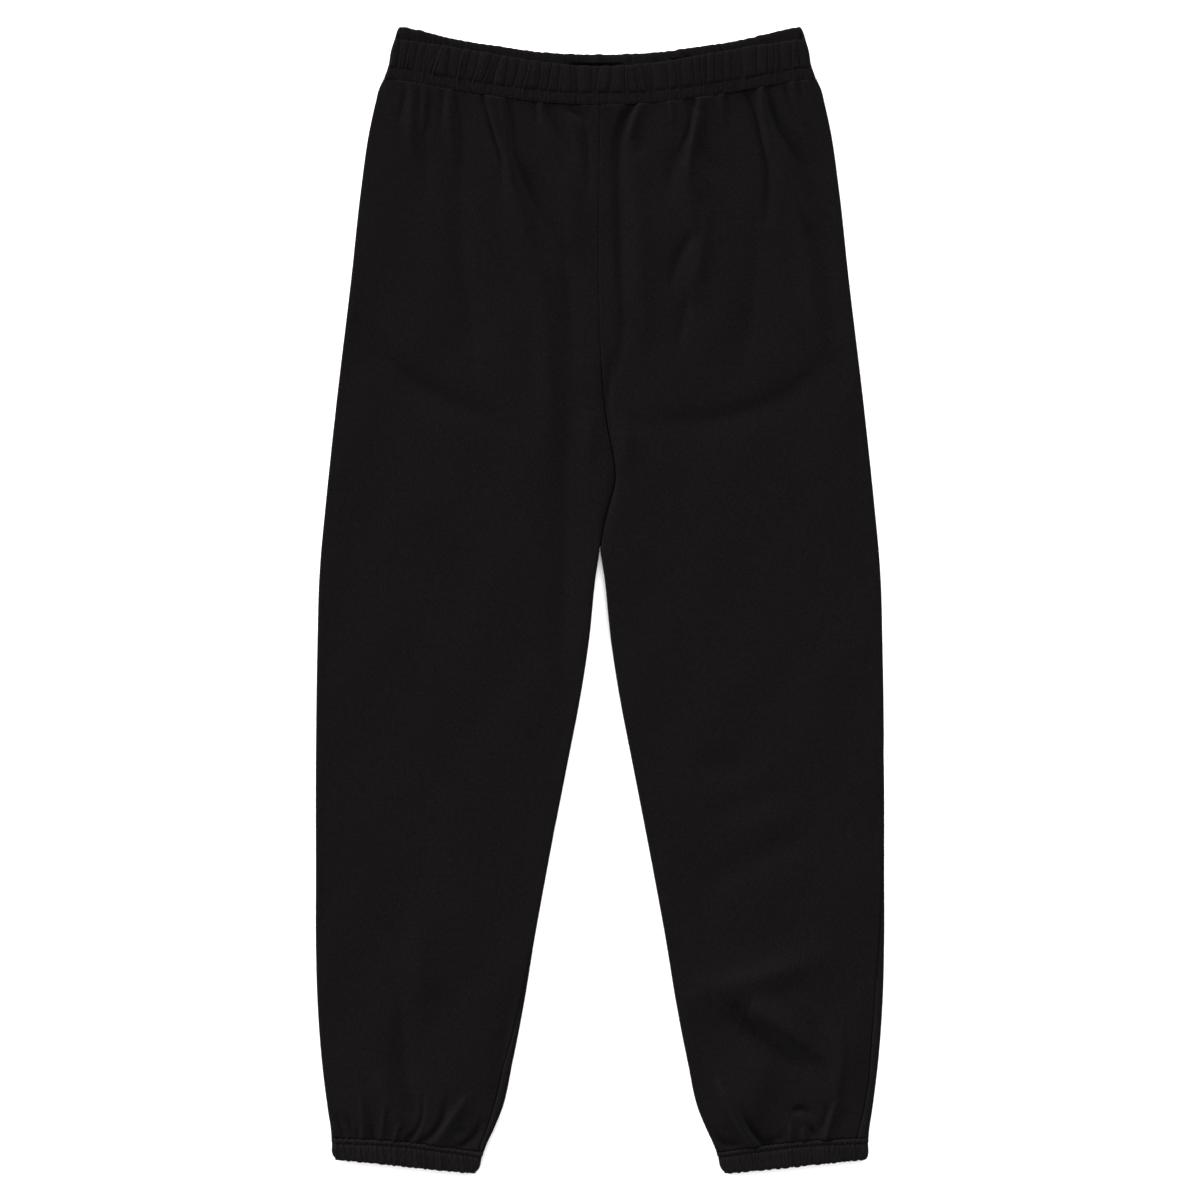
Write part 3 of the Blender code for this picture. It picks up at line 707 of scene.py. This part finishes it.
def ringSpot(ring, share, angle, place, depth, billowShare, inside):
    sizes = ring["sizes"]
    turn = np.radians(angle)
    up = (1 + np.sin(turn)) / 2
    radius = sizes["height"] / 2
    rounding = radius * garment["flatSide"]
    down = np.full(len(share), ring["middle"])
    for _ in range(garment["settling"]):
        low, high = ring["ends"](down)
        flat = low + rounding + (high - low - 2 * rounding) * share
        front, frontLip = billow(ring["creases"], flat, place)
        back, backLip = billow(ring["backCreases"], flat, place)
        waved = billowShare > 0
        lipShare = np.interp(place, *sizes["lipRun"]) * waved
        wave = sizes["rise"] * (billowShare * (front - ringForms["meanBillow"]) + lipShare * frontLip)
        pocketShare = np.interp(place, *ringForms["pocketRun"]) * (inside < 1)
        tuckShare = np.interp(place, *sizes["tuckRun"]) * waved
        wave = wave - sizes["pocket"] * pockets(flat) * pocketShare
        wave = wave + sizes["tuck"] * tucks(flat, down) * tuckShare
        backWave = sizes["rise"] * (billowShare * back + lipShare * backLip)
        sunk = np.clip(sizes["rise"] * billowShare - backWave, 0, sizes["deepestBack"])
        outerFace = radius - depth * up + wave * up - (ringForms["backRound"] * depth + sunk) * (1 - up)
        backRise = sizes["mouth"](flat, place) + (backWave - 1) * ringForms["backInner"]
        innerFace = radius - depth + wave * up * ringForms["innerWave"] - backRise * (1 - up)
        outward = np.where(inside > 0, innerFace, outerFace)
        end = np.where(share <= 0, -1, np.where(share >= 1, 1, 0))
        across = flat + garment["flatSide"] * np.cos(turn) * outward * end
        corner = ring["corners"][0] * (end < 0) - ring["corners"][1] * (end > 0)
        across = across + corner * np.clip(1 - place / ringForms["cornerRun"], 0, 1) ** 2
        edge, stitch, seam = ring["lines"](np.abs(across), up)
        down = edge + (stitch - edge) * np.minimum(place, 1) + (seam - stitch) * np.maximum(0, place - 1)
    undrawn, most = ringForms["scallopShare"]
    drawn = np.clip(undrawn - (front * up + back * (1 - up)), 0, most)
    drawn = drawn * np.maximum(0, 1 - np.abs(place) / ringForms["scallopRun"])
    down = down + ring["towardSeam"] * sizes["scallop"] * drawn
    return metres(ring["side"] * across, down, radius + np.sin(turn) * outward)


def makeRing(name, ring, material):  # doubled cloth, closed round the garment and round its section
    columns = ringColumns(ring["sizes"])
    section = ring["sizes"]["section"]

    def spot(grid):  # the last column and row meet the first ones
        share, angle = columns[np.round(grid[:, 0] * len(columns)).astype(int) % len(columns)].T
        row = section[np.round(grid[:, 1] * len(section)).astype(int) % len(section)]
        return ringSpot(ring, share, angle, row["place"], row["depth"], row["billow"], row["inside"])

    band = bmesh.new()
    bmesh.ops.create_grid(band, x_segments=len(columns), y_segments=len(section), size=0.5)
    placeGrid(band, spot)
    bmesh.ops.remove_doubles(band, verts=band.verts[:], dist=millimetre / 1000)
    return finishPiece(name, band, material, recalculate=True)


stitches = {
    "length": 2.5,
    "pitch": 3.3,
    "thickness": 0.55,
    "billow": 0.12,  # share of the billows' height with which they rise
    "segments": (6, 5),  # round a stitch and along it
}


def sewRows(name, rings, material):  # two rows of stitches all round each ring, as one mesh of threads
    threads = bmesh.new()
    for ring in rings:
        sizes = ring["sizes"]
        low, high = ring["ends"](np.array([ring["middle"]]))
        run = float((high - low)[0]) - sizes["height"]
        count = int(run / stitches["pitch"])
        half = stitches["length"] / run / 2
        for place, depth in zip(sizes["stitchRows"], sizes["stitchDepths"]):
            for angle in (90.0, -90.0):
                share = (np.arange(count) + 0.5) / count
                rest = [np.full(count, value) for value in (angle, place, depth, stitches["billow"], 0)]
                starts = ringSpot(ring, share - half, *rest)
                ends = ringSpot(ring, share + half, *rest)
                for start, end in zip(starts, ends):
                    addStitch(threads, Vector(start), Vector(end))
    return finishPiece(name, threads, material)


def addStitch(threads, start, end):
    along = end - start
    radius = stitches["thickness"] / 2 * millimetre
    turned = along.to_track_quat("Z", "Y").to_matrix().to_4x4()
    sized = Matrix.Diagonal((radius, radius, along.length / 2, 1))
    segments, rounds = stitches["segments"]
    bmesh.ops.create_uvsphere(threads, u_segments=segments, v_segments=rounds, radius=1,
                              matrix=Matrix.Translation((start + end) / 2) @ turned @ sized)


waistRing = {
    "sizes": waistband,
    "side": left,  # "across" grows towards the wearer's left
    "ends": lambda down: (-outerAt(down), outerAt(down)),
    "lines": waistLines,
    "creases": waistCreases,
    "backCreases": randomCreases(count=82, low=-198, high=198, lean=0, seed=11),
    "corners": (0.0, 0.0),  # how far the two ends of the folded edge are rounded off
    "towardSeam": 1,  # 1 where the seam is below the folded edge, -1 where it is above
    "middle": 48.0,  # a level inside the ring
}


def cuffRing(side):
    return {
        "sizes": cuffs,
        "side": side,
        "ends": lambda down: (innerAt(down), outerAt(down)),
        "lines": cuffLines,
        "creases": randomCreases(count=30, low=103, high=246, lean=-1.8 * side, seed=20 + side),
        "backCreases": randomCreases(count=20, low=103, high=246, lean=0, seed=30 + side),
        "corners": (5.0, 1.5) if side == left else (4.5, 4.5),
        "towardSeam": -1,
        "middle": 1010.0,
    }


cuffRings = {left: cuffRing(left), right: cuffRing(right)}


panels = {
    # distance between two rows of the mesh, from one level to the next
    "rows": table("start end step", [
        (48, 100, 1.8),
        (100, 300, 4),
        (300, 510, 3.5),
        (510, 850, 9),
        (850, 950, 3.4),
        (950, 1010, 1.7),
    ]),
    "waistRow": 48.0,  # follows the waist seam
    "straightRow": 173.0,  # the waist seam's curve is gone
    "levelRow": 908.0,  # the cuff seam's curve begins
    "cuffRow": 1010.0,  # follows the cuff seam
    "front": {"roll": 8, "run": 4, "middle": 168},  # columns of each edge and between them
    "back": {"roll": 8, "run": 2, "middle": 40},
    "highest": 7.0,  # how far folds may rise
    "deepest": 4.2,  # and sink
    "deepestInside": 2.3,  # on the inner face of the cloth
    "foldMargin": 11.0,  # folds die out over this distance from a side seam
    "centreMargin": 3.0,  # and this one from the centre seam
    "waistDip": 0.3,  # cloth that dives into the seams of the waistband and cuffs
    "cuffDip": 0.6,
    "dipReach": 1.7,
    "seamSwell": 0.9,  # and swells just below the waist seam
    "swellReach": 14.0,
    "gatherRise": 0.7,  # gathers that run out from those seams
    "gatherReach": 8.0,
    "meanGather": 0.6,  # share of their height about which they rise and sink
    "foldGain": 1.25,
    "foldSteps": 12,  # straight pieces that a fold's line is measured along
    "foldReach": 3.2,  # a fold is worked out as far as this many of its half widths
    "foldEnds": 0.03,  # share of its line at each end where it fades no further
    "grooveShape": 1.5,  # grooves have a sharper bottom than ridges a top
    "ridgeShape": 1.8,
}

# folds of the two fronts: start, middle and end of each line, half width, rise (below 0 for a groove),
# and how much wider it is on its left as one goes along it, and narrower on its right
folds = table("x1 down1 x2 down2 x3 down3 width rise skew", [
    # wearer's right hip
    (-168, 48, -171, 80, -170, 114, 5, 1.5),
    (-163, 58, -163.5, 72, -163, 86, 2.6, -0.6),
    (-159.5, 56, -158, 72, -159.5, 94, 3, 1.2, -0.2),
    (-154.5, 60, -156, 80, -157.5, 102, 3.2, -0.8, 0.2),
    (-173.5, 52, -177, 68, -182, 88, 4, -1, 0.4),
    (-160, 104, -158, 132, -157, 165, 7, -1.1),
    (-136, 58, -136.5, 84, -131, 120, 4.5, 1.7),
    (-132, 60, -127.5, 86, -124, 126, 2.8, -1.2, 0.4),
    (-142.5, 58, -142, 72, -143, 88, 3, -0.9, 0.3),
    (-124, 105, -124, 215, -112, 305, 12, -2.1),
    (-107.5, 60, -98.5, 92, -86, 132, 2.4, -2, 0.35),
    (-102, 60, -93, 95, -79, 134, 4.2, 2.4, 0.1),
    (-91, 110, -89, 132, -88, 154, 5, -1, 0.3),
    (-86, 112, -75, 160, -54, 228, 8, 3.2, -0.2),
    (-89, 64, -87, 84, -83, 110, 2.8, 1.2),
    (-85, 66, -79.5, 92, -77, 128, 2.8, -1.7, 0.5),
    (-77, 122, -62, 156, -36, 205, 4, -2.3, 0.3),
    (-72, 130, -50, 168, -26, 228, 12, -1.6),
    (-36, 198, -30, 230, -26, 292, 8, -2, 0.3),
    (-54, 225, -48, 290, -44, 368, 10, 1.9),
    (-29, 300, -31, 450, -34, 610, 13, -2.4),
    (-55, 66, -49, 92, -36, 122, 4, 2),
    (-50, 71, -39, 95, -23, 122, 6, -1.5, 0.2),
    (-58.5, 66, -58, 76, -57, 88, 2.6, -0.9, 0.3),
    (-30, 76, -23, 80.5, -15.5, 86, 3, -1.7, 0.3),
    (-28, 76, -23, 95, -18, 124, 4, 1.3),
    (-16, 82, -12.2, 110, -11, 152, 3, -1.4, 0.35),
    (-30, 130, -25, 165, -20, 200, 9, 1.2),
    (-205, 284, -165, 325, -98, 355, 13, -2.4, -0.35),
    (-10, 348, -9, 370, -10, 394, 9, 1.5),
    # wearer's left hip
    (33, 68, 17.5, 96, 15, 136, 4.6, -3.6, 0.4),
    (15, 122, 16, 190, 21, 272, 5.2, -2.6, 0.5),
    (20.5, 262, 20, 285, 14, 320, 6, -1.2),
    (10, 303, 8.5, 325, 6, 350, 2.6, -1.2),
    (2, 312, 9, 372, 13.5, 416, 4.6, -1.2),
    (14, 404, 8, 434, 1, 470, 4, -1),
    (39, 66, 31, 84, 26, 104, 4.6, 2.3, 0.3),
    (31, 112, 35, 190, 41, 298, 10, 1.4),
    (37, 100, 37, 110, 37, 120, 5, -0.8),
    (77, 66, 81.5, 86, 73, 114, 3.4, -1.7, 0.3),
    (73, 108, 67, 130, 63, 157, 8, -1.3),
    (92, 62, 86, 92, 79, 132, 4.4, 2.6, 0.4),
    (80, 120, 82, 160, 92, 242, 10, 1.9),
    (95, 64, 94, 88, 93, 114, 4, -0.5, 0.5),
    (90, 106, 98, 124, 114, 136, 8, -1.6),
    (84, 67, 87, 74, 90, 80, 3, -1.2),
    (87, 189, 73.5, 206, 64, 238, 6, -2, 0.1),
    (81, 242, 76, 264, 72, 292, 5.5, -1.3),
    (96, 168, 92, 205, 82, 247, 7, 1.2),
    (110.5, 58, 111, 72, 113, 88, 2.8, 1.3),
    (114, 60, 115, 72, 118, 86, 2.8, -0.7),
    (63, 64, 64.5, 76, 66, 92, 2.6, 1),
    (131, 58, 141.5, 86, 149.5, 122, 3.8, -3.1, 0.35),
    (149, 115, 151.5, 140, 150.5, 174, 4.2, -2.1, 0.3),
    (147, 56, 148.5, 84, 155, 116, 4.4, 3.8),
    (153, 100, 167, 136, 186, 180, 5.6, 4.4),
    (180, 160, 188, 215, 199, 287, 8, 1.6),
    (149, 52, 160, 93, 188, 130, 4.4, -2.8, 0.4),
    (170, 110, 184, 134, 196, 172, 7, -2.4),
    (198, 168, 207, 225, 212, 287, 9, -1.2),
    (166.5, 53, 172, 70, 182, 90, 3.6, -1.6, 0.2),
    (174, 50, 178, 70, 187, 92, 3.8, 1.4),
    (177, 50, 180, 60, 184, 74, 2.8, -1.1),
    (143, 180, 138, 250, 130, 307, 14, -2.2),
    (200, 309, 135, 349, 56, 357, 13, -2, 0.35),
    (24, 363, 24, 380, 25, 400, 8, 1.2),
    (26, 348, 33, 360, 41, 371, 6, -1),
    # lower part of the wearer's left leg
    (81, 676, 109, 670, 137, 668, 10, -1.2),
    (100, 716, 140, 702, 178, 690, 10, -1.4),
    (92, 779, 141, 754, 190, 734, 11, -1.6),
    (98, 873, 140, 864, 190, 846, 16, 3.7, -0.25),
    (120, 884, 128, 892, 140, 900, 9, -1.6),
    (144, 880, 162, 873, 190, 858, 9, -0.4),
    (168, 886, 186, 890, 206, 902, 12, 1.2, -0.2),
    (134, 890, 158, 903, 192, 930, 9.5, 6.2, 0.35),
    (127, 901, 151, 915, 186, 941, 9.5, -4.6, -0.35),
    (136, 907, 147, 913, 159, 917, 5.5, -2.4, -0.1),
    (134, 1002, 139, 968, 150, 934, 20, 2.6, 0.2),
    (196, 905, 212, 920, 219, 957, 8, 1.5),
    (222, 898, 223.5, 930, 221, 967, 2.4, -0.45, 0.4),
    (219, 925, 217, 950, 211, 985, 6, 1.2, -0.4),
    (213, 976, 206, 998, 201, 1018, 3.2, 1.7, 0.4),
    (208, 974, 204, 989, 198, 1003, 3.2, -0.9, -0.2),
    (224, 980, 220, 992, 218, 1004, 6, -0.8),
    (247, 868, 244.5, 935, 236, 1002, 8, -1.5, -0.4),
    (174, 984, 183, 980.5, 192, 987, 3.2, -2.3, -0.2),
    (168, 992, 178, 989, 187, 997, 5, 0.7),
    (108, 959, 124, 989, 144, 1021, 3.5, 4.8, 0.1),
    (129, 987, 141, 1006, 157, 1018, 3.4, -3, 0.3),
    (104, 1003, 113, 1012, 128, 1013, 3.4, -2.8, 0.1),
    (144, 1009, 155, 1010, 166, 1005, 3, -1.7),
    (190, 996, 193, 1001, 196, 1007, 3, -2.6),
    (172, 994, 172.5, 1001, 173, 1013, 2.6, 1.6),
    (184, 999, 184.5, 1005, 185, 1013, 2.2, 1.4),
    # lower part of the wearer's right leg
    (-77, 872, -88, 938, -99, 990, 7, -1.3, -0.4),
    (-164, 808, -163, 845, -160, 887, 14, 1.8),
    (-181, 880, -177, 945, -167, 990, 8.5, -2.2),
    (-173, 966, -171, 980, -169, 990, 5, -1.3),
    (-200, 943, -191, 970, -176, 1000, 9, 2.8, -0.2),
    (-226, 960, -220, 985, -218, 1008, 8, 1),
    (-216, 968, -214.5, 990, -213, 1013, 2.6, 1.4),
    (-194, 973, -196, 992, -198.5, 1013, 2.4, 1.3),
    (-181, 994, -184, 1003, -187, 1014, 2.4, 1.3),
    (-160, 970, -163.5, 996, -180, 1012, 3.2, -2.5, 0.3),
    (-157.5, 968, -160, 992, -170, 1013, 3.4, 1.4),
    (-140.5, 976, -148, 999, -166, 1012, 3.4, -2.5, 0.3),
    (-120, 970, -134, 989, -152, 1014, 4.6, 1.7, 0.3),
    (-108, 994, -117, 1008, -129, 1015, 3.2, -2.3, 0.2),
    (-131, 998, -127, 1001, -122, 1002, 4, -1),
    (-240, 986, -235.5, 998, -231.5, 1010, 2.8, -2.1, 0.3),
    (-228, 988, -225.5, 997, -222, 1007, 2.8, -1.6),
    (-219.5, 997, -219, 1004, -218.5, 1011, 2.4, -1.3),
    (-207, 994, -206.5, 1002, -206, 1010, 2.6, -1.6),
])


def foldLine(fold):
    t = np.linspace(0, 1, panels["foldSteps"] + 1)[:, None]
    first, middle, last = (np.array([fold["x%d" % k], fold["down%d" % k]]) for k in (1, 2, 3))
    return first * (1 - t) * (1 - 2 * t) + middle * 4 * t * (1 - t) + last * t * (2 * t - 1)


def foldRise(x, down):
    total = np.zeros(len(x))
    for fold in folds:
        line = foldLine(fold)
        reach = panels["foldReach"] * fold["width"]
        low, high = line.min(axis=0) - reach, line.max(axis=0) + reach
        near = np.nonzero((x > low[0]) & (x < high[0]) & (down > low[1]) & (down < high[1]))[0]
        if not len(near):
            continue
        spots = np.stack((x[near], down[near]), axis=1)[:, None, :]
        runs = line[1:] - line[:-1]
        shares = np.clip(((spots - line[:-1]) * runs).sum(axis=2) / (runs ** 2).sum(axis=1), 0, 1)
        off = spots - line[:-1] - runs * shares[:, :, None]
        distances = np.linalg.norm(off, axis=2)
        k = distances.argmin(axis=1)
        rows = np.arange(len(near))
        off, distance = off[rows, k], distances[rows, k]
        share = (k + shares[rows, k]) / panels["foldSteps"]
        onLeft = np.sign(off[:, 0] * runs[k, 1] - off[:, 1] * runs[k, 0])
        width = fold["width"] * (1 + fold["skew"] * onLeft)
        strength = np.sqrt(np.sin(math.pi * np.clip(share, panels["foldEnds"], 1 - panels["foldEnds"])))
        shape = panels["grooveShape" if fold["rise"] < 0 else "ridgeShape"]
        total[near] += fold["rise"] * strength * np.exp(-(distance / width) ** shape)
    limit = np.where(total > 0, panels["highest"], panels["deepest"])
    return limit * np.tanh(total * panels["foldGain"] / limit)


# slight waves of cloth that lies loose: height, length across (over 2 pi), how far it wanders and over
# what length down the leg, its start, and the lengths of the slanting wave that it meets
looseWaves = table("height across wander wanderDown start down slant", [
    (0.58, 19, 0.8, 47, 0, 31, 53),
    (0.11, 7.3, 1, 23, 1, 11.7, -29),
])


def unevenness(x, down):
    total = np.zeros(len(x))
    for wave in looseWaves:
        wander = wave["wander"] * np.sin(down / wave["wanderDown"]) + wave["start"]
        slanting = np.sin(down / wave["down"] + x / wave["slant"])
        total += wave["height"] * np.sin(x / wave["across"] + wander) * slanting
    return total


def rolledReach(side, seam, down, radius):  # reach of a leg's seam round its side
    if (side, seam) not in seamRolls:
        return np.zeros_like(down)
    roll = seamRolls[side, seam]
    inward = np.interp(down, roll["down"], roll["inward"])
    width = garment["flatSide"] * radius
    onRoll = radius * np.arccos(1 - np.minimum(inward, width) / width)
    return np.where(inward <= width, onRoll, radius * math.pi / 2 + inward - width)


def edgeStrip(face, side, seam, down):  # strip of a panel along one of its long seams
    radius = heightAt(down) / 2
    quarter = radius * math.pi / 2
    start = rolledReach(side, seam, down, radius)
    gap = garment["seamGap"] / 2
    if face == "front":
        start = start + gap
        if seam == "inner":
            centre = np.maximum(start, np.radians(centreFacingAt(down)) * radius)
            start = np.where(down < garment["crotch"], centre, start)
        rollEnd = np.maximum(quarter, start + garment["shortestRoll"])
        reaches = (start, rollEnd, rollEnd + garment["edgeRun"])
    else:
        start = start - gap
        if seam == "inner":
            first, last = garment["backSplit"]
            start = -quarter + (start + quarter) * ease((down - first) / (last - first))
        rollEnd = np.minimum(-quarter, start - garment["shortestRoll"])
        reaches = (start, rollEnd, rollEnd - garment["edgeRun"])
    groove = garment["rolledGroove" if (side, seam) in seamRolls else "seamGroove"]
    width = garment["grooveReach"][face]
    flat = garment["flatSide"]
    if seam == "outer":
        return outerAt(down), -1, radius, reaches, (groove, width), flat
    line = innerAt(down) + gap
    if face == "front":
        joined = down < garment["crotch"]
        line = line + np.where(joined, side * centreXAt(down), 0)
        groove = np.where(joined, garment["seamGroove"], groove)
        crease = ease((garment["crotch"] + garment["creaseEnd"] - down) / garment["creaseFade"])
        flat = flat + (garment["creaseSide"] - flat) * crease
    line = line - np.where(down < garment["backSplit"][1], aroundEdge(start, radius, flat)[0], 0)
    return line, 1, radius, reaches, (groove, width), flat


def stripPoint(strip, step):  # across, height, facing; step 0 at the seam, 1 end of roll, 2 end of run
    line, wayIn, radius, (start, rollEnd, end), (grooveDepth, grooveReach), flat = strip
    reach = start + (rollEnd - start) * np.clip(step, 0, 1) + (end - rollEnd) * np.clip(step - 1, 0, 1)
    inward, height, turn = aroundEdge(reach, radius, flat)
    groove = grooveDepth * np.exp(-((reach - start) / grooveReach) ** 2)
    return line + wayIn * (inward + groove * np.cos(turn)), height - groove * np.sin(turn), turn


def sectionPoint(face, side, fromOuter, fromInner, down):  # last value -1 on the inner half
    sizes = panels[face]
    steps = np.concatenate((np.linspace(0, 1, sizes["roll"] + 1), np.linspace(1, 2, sizes["run"] + 1)[1:]))
    edge = len(steps) - 1
    columns = np.arange(edge + 1)
    outer = stripPoint(edgeStrip(face, side, "outer", down), np.interp(fromOuter, columns, steps))
    inner = stripPoint(edgeStrip(face, side, "inner", down), np.interp(fromInner, columns, steps))
    share = np.clip((fromOuter - edge) / sizes["middle"], 0, 1)
    across, height, turn = (a + (b - a) * share for a, b in zip(outer, inner))
    return across, height, turn, np.where(share < 0.5, 1, -1)


def rowDown(across, facingUp, station):  # the first rows follow the waist seam, the last the cuff's
    waistSeam = seamAt("waist", across, facingUp) + garment["seamGap"] / 2
    cuffSeam = seamAt("cuff", across, facingUp) - garment["seamGap"] / 2
    first, last = panels["waistRow"], panels["cuffRow"]
    waistShare = np.maximum(0, (panels["straightRow"] - station) / (panels["straightRow"] - first))
    cuffShare = np.maximum(0, (station - panels["levelRow"]) / (last - panels["levelRow"]))
    return station + (waistSeam - first) * waistShare + (cuffSeam - last) * cuffShare


def frontRise(side, across, down):  # folds, gathers and seam dips of a front panel
    x = side * across
    fromSide = outerAt(down) - across
    fromInside = across - edgeStrip("front", side, "inner", down)[0]
    inside = np.where(down < garment["crotch"], panels["centreMargin"], panels["foldMargin"])
    margin = ease(fromSide / panels["foldMargin"]) * ease(fromInside / inside)
    rise = (foldRise(x, down) + unevenness(x, down)) * margin
    reach, gather = panels["gatherReach"], panels["gatherRise"]
    belowWaist = np.maximum(0, down - seamAt("waist", across, 1.0))
    aboveCuff = np.maximum(0, seamAt("cuff", across, 1.0) - down)
    stitching = np.ones(len(x))  # creases keep the places that they have there
    fromWaist = billow(waistRing["creases"], x, stitching)[0] - panels["meanGather"]
    fromCuff = billow(cuffRings[side]["creases"], across, stitching)[0] - panels["meanGather"]
    waves = fromWaist * np.exp(-belowWaist / reach) + fromCuff * np.exp(-aboveCuff / reach)
    waistDip = panels["waistDip"] * np.exp(-(belowWaist / panels["dipReach"]) ** 2)
    cuffDip = panels["cuffDip"] * np.exp(-(aboveCuff / panels["dipReach"]) ** 2)
    swell = panels["seamSwell"] * np.exp(-belowWaist / panels["swellReach"]) * np.sqrt(margin)
    return rise + gather * waves * np.sqrt(margin) + swell, (waistDip + cuffDip) * pockets(x)


def panelRows():
    rows = [np.arange(row["start"], row["end"] - row["step"] / 2, row["step"]) for row in panels["rows"]]
    return np.concatenate(rows + [[panels["cuffRow"]]])


def makePanel(name, face, side, material):
    sizes = panels[face]
    columns = 2 * (sizes["roll"] + sizes["run"]) + sizes["middle"]
    stations = panelRows()
    rows = len(stations) - 1

    def spot(grid):
        column = grid[:, 0] * columns
        station = stations[np.round(grid[:, 1] * rows).astype(int)]
        isOuter = np.arange(len(grid)) < (columns + 1) * (rows + 1)
        down = station
        for _ in range(garment["settling"]):
            across, height, turn, outward = sectionPoint(face, side, column, columns - column, down)
            facing = np.where((down < garment["crotch"]) & (outward < 0), np.sign(turn) * math.pi / 2, turn)
            down = rowDown(across, (1 + np.sin(facing)) / 2, station)
        across, height, turn, outward = sectionPoint(face, side, column, columns - column, down)
        if face == "front":
            rise, dip = frontRise(side, across, down)
            height = height + np.where(isOuter, rise - dip, np.maximum(rise, -panels["deepestInside"]))
        wall = np.where(isOuter, 0, garment["cloth"])
        across = across - wall * np.cos(turn) * outward
        return metres(side * across, down, height - wall * np.sin(turn))

    cloth = bmesh.new()
    bmesh.ops.create_grid(cloth, x_segments=columns, y_segments=rows, size=0.5)
    bmesh.ops.extrude_face_region(cloth, geom=cloth.faces[:], use_keep_orig=True)  # the outer face first
    placeGrid(cloth, spot)
    return finishPiece(name, cloth, material, recalculate=True)


setCamera()
setStudio()
print("studio set")

bodyFleece = makeFleece("brushedFleece", fleece)
bandFleece = makeFleece("waistbandFleece", fleece)
cuffFleece = makeFleece("cuffFleece", cuffLook)
sewingThread = makeThread()


def wear(piece, node=None):  # stitching has no node or cut
    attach(piece, "root")
    if node:
        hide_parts(node)


for sideName, side in sides.items():
    back = makePanel("backPanel" + sideName.capitalize(), "back", side, bodyFleece)
    wear(back, "back_panel_" + sideName)
    front = makePanel("frontPanel" + sideName.capitalize(), "front", side, bodyFleece)
    wear(front, "front_panel_" + sideName)
    print(sideName, "leg made")

band = makeRing("gatheredWaistband", waistRing, bandFleece)
wear(band, "waistband")
for sideName, side in sides.items():
    ring = makeRing("gatheredCuff" + sideName.capitalize(), cuffRings[side], cuffFleece)
    wear(ring, "cuff_" + sideName)
print("waistband and cuffs made")

wear(sewRows("waistStitching", [waistRing], sewingThread))
wear(sewRows("cuffStitching", list(cuffRings.values()), sewingThread))
print("stitching made")
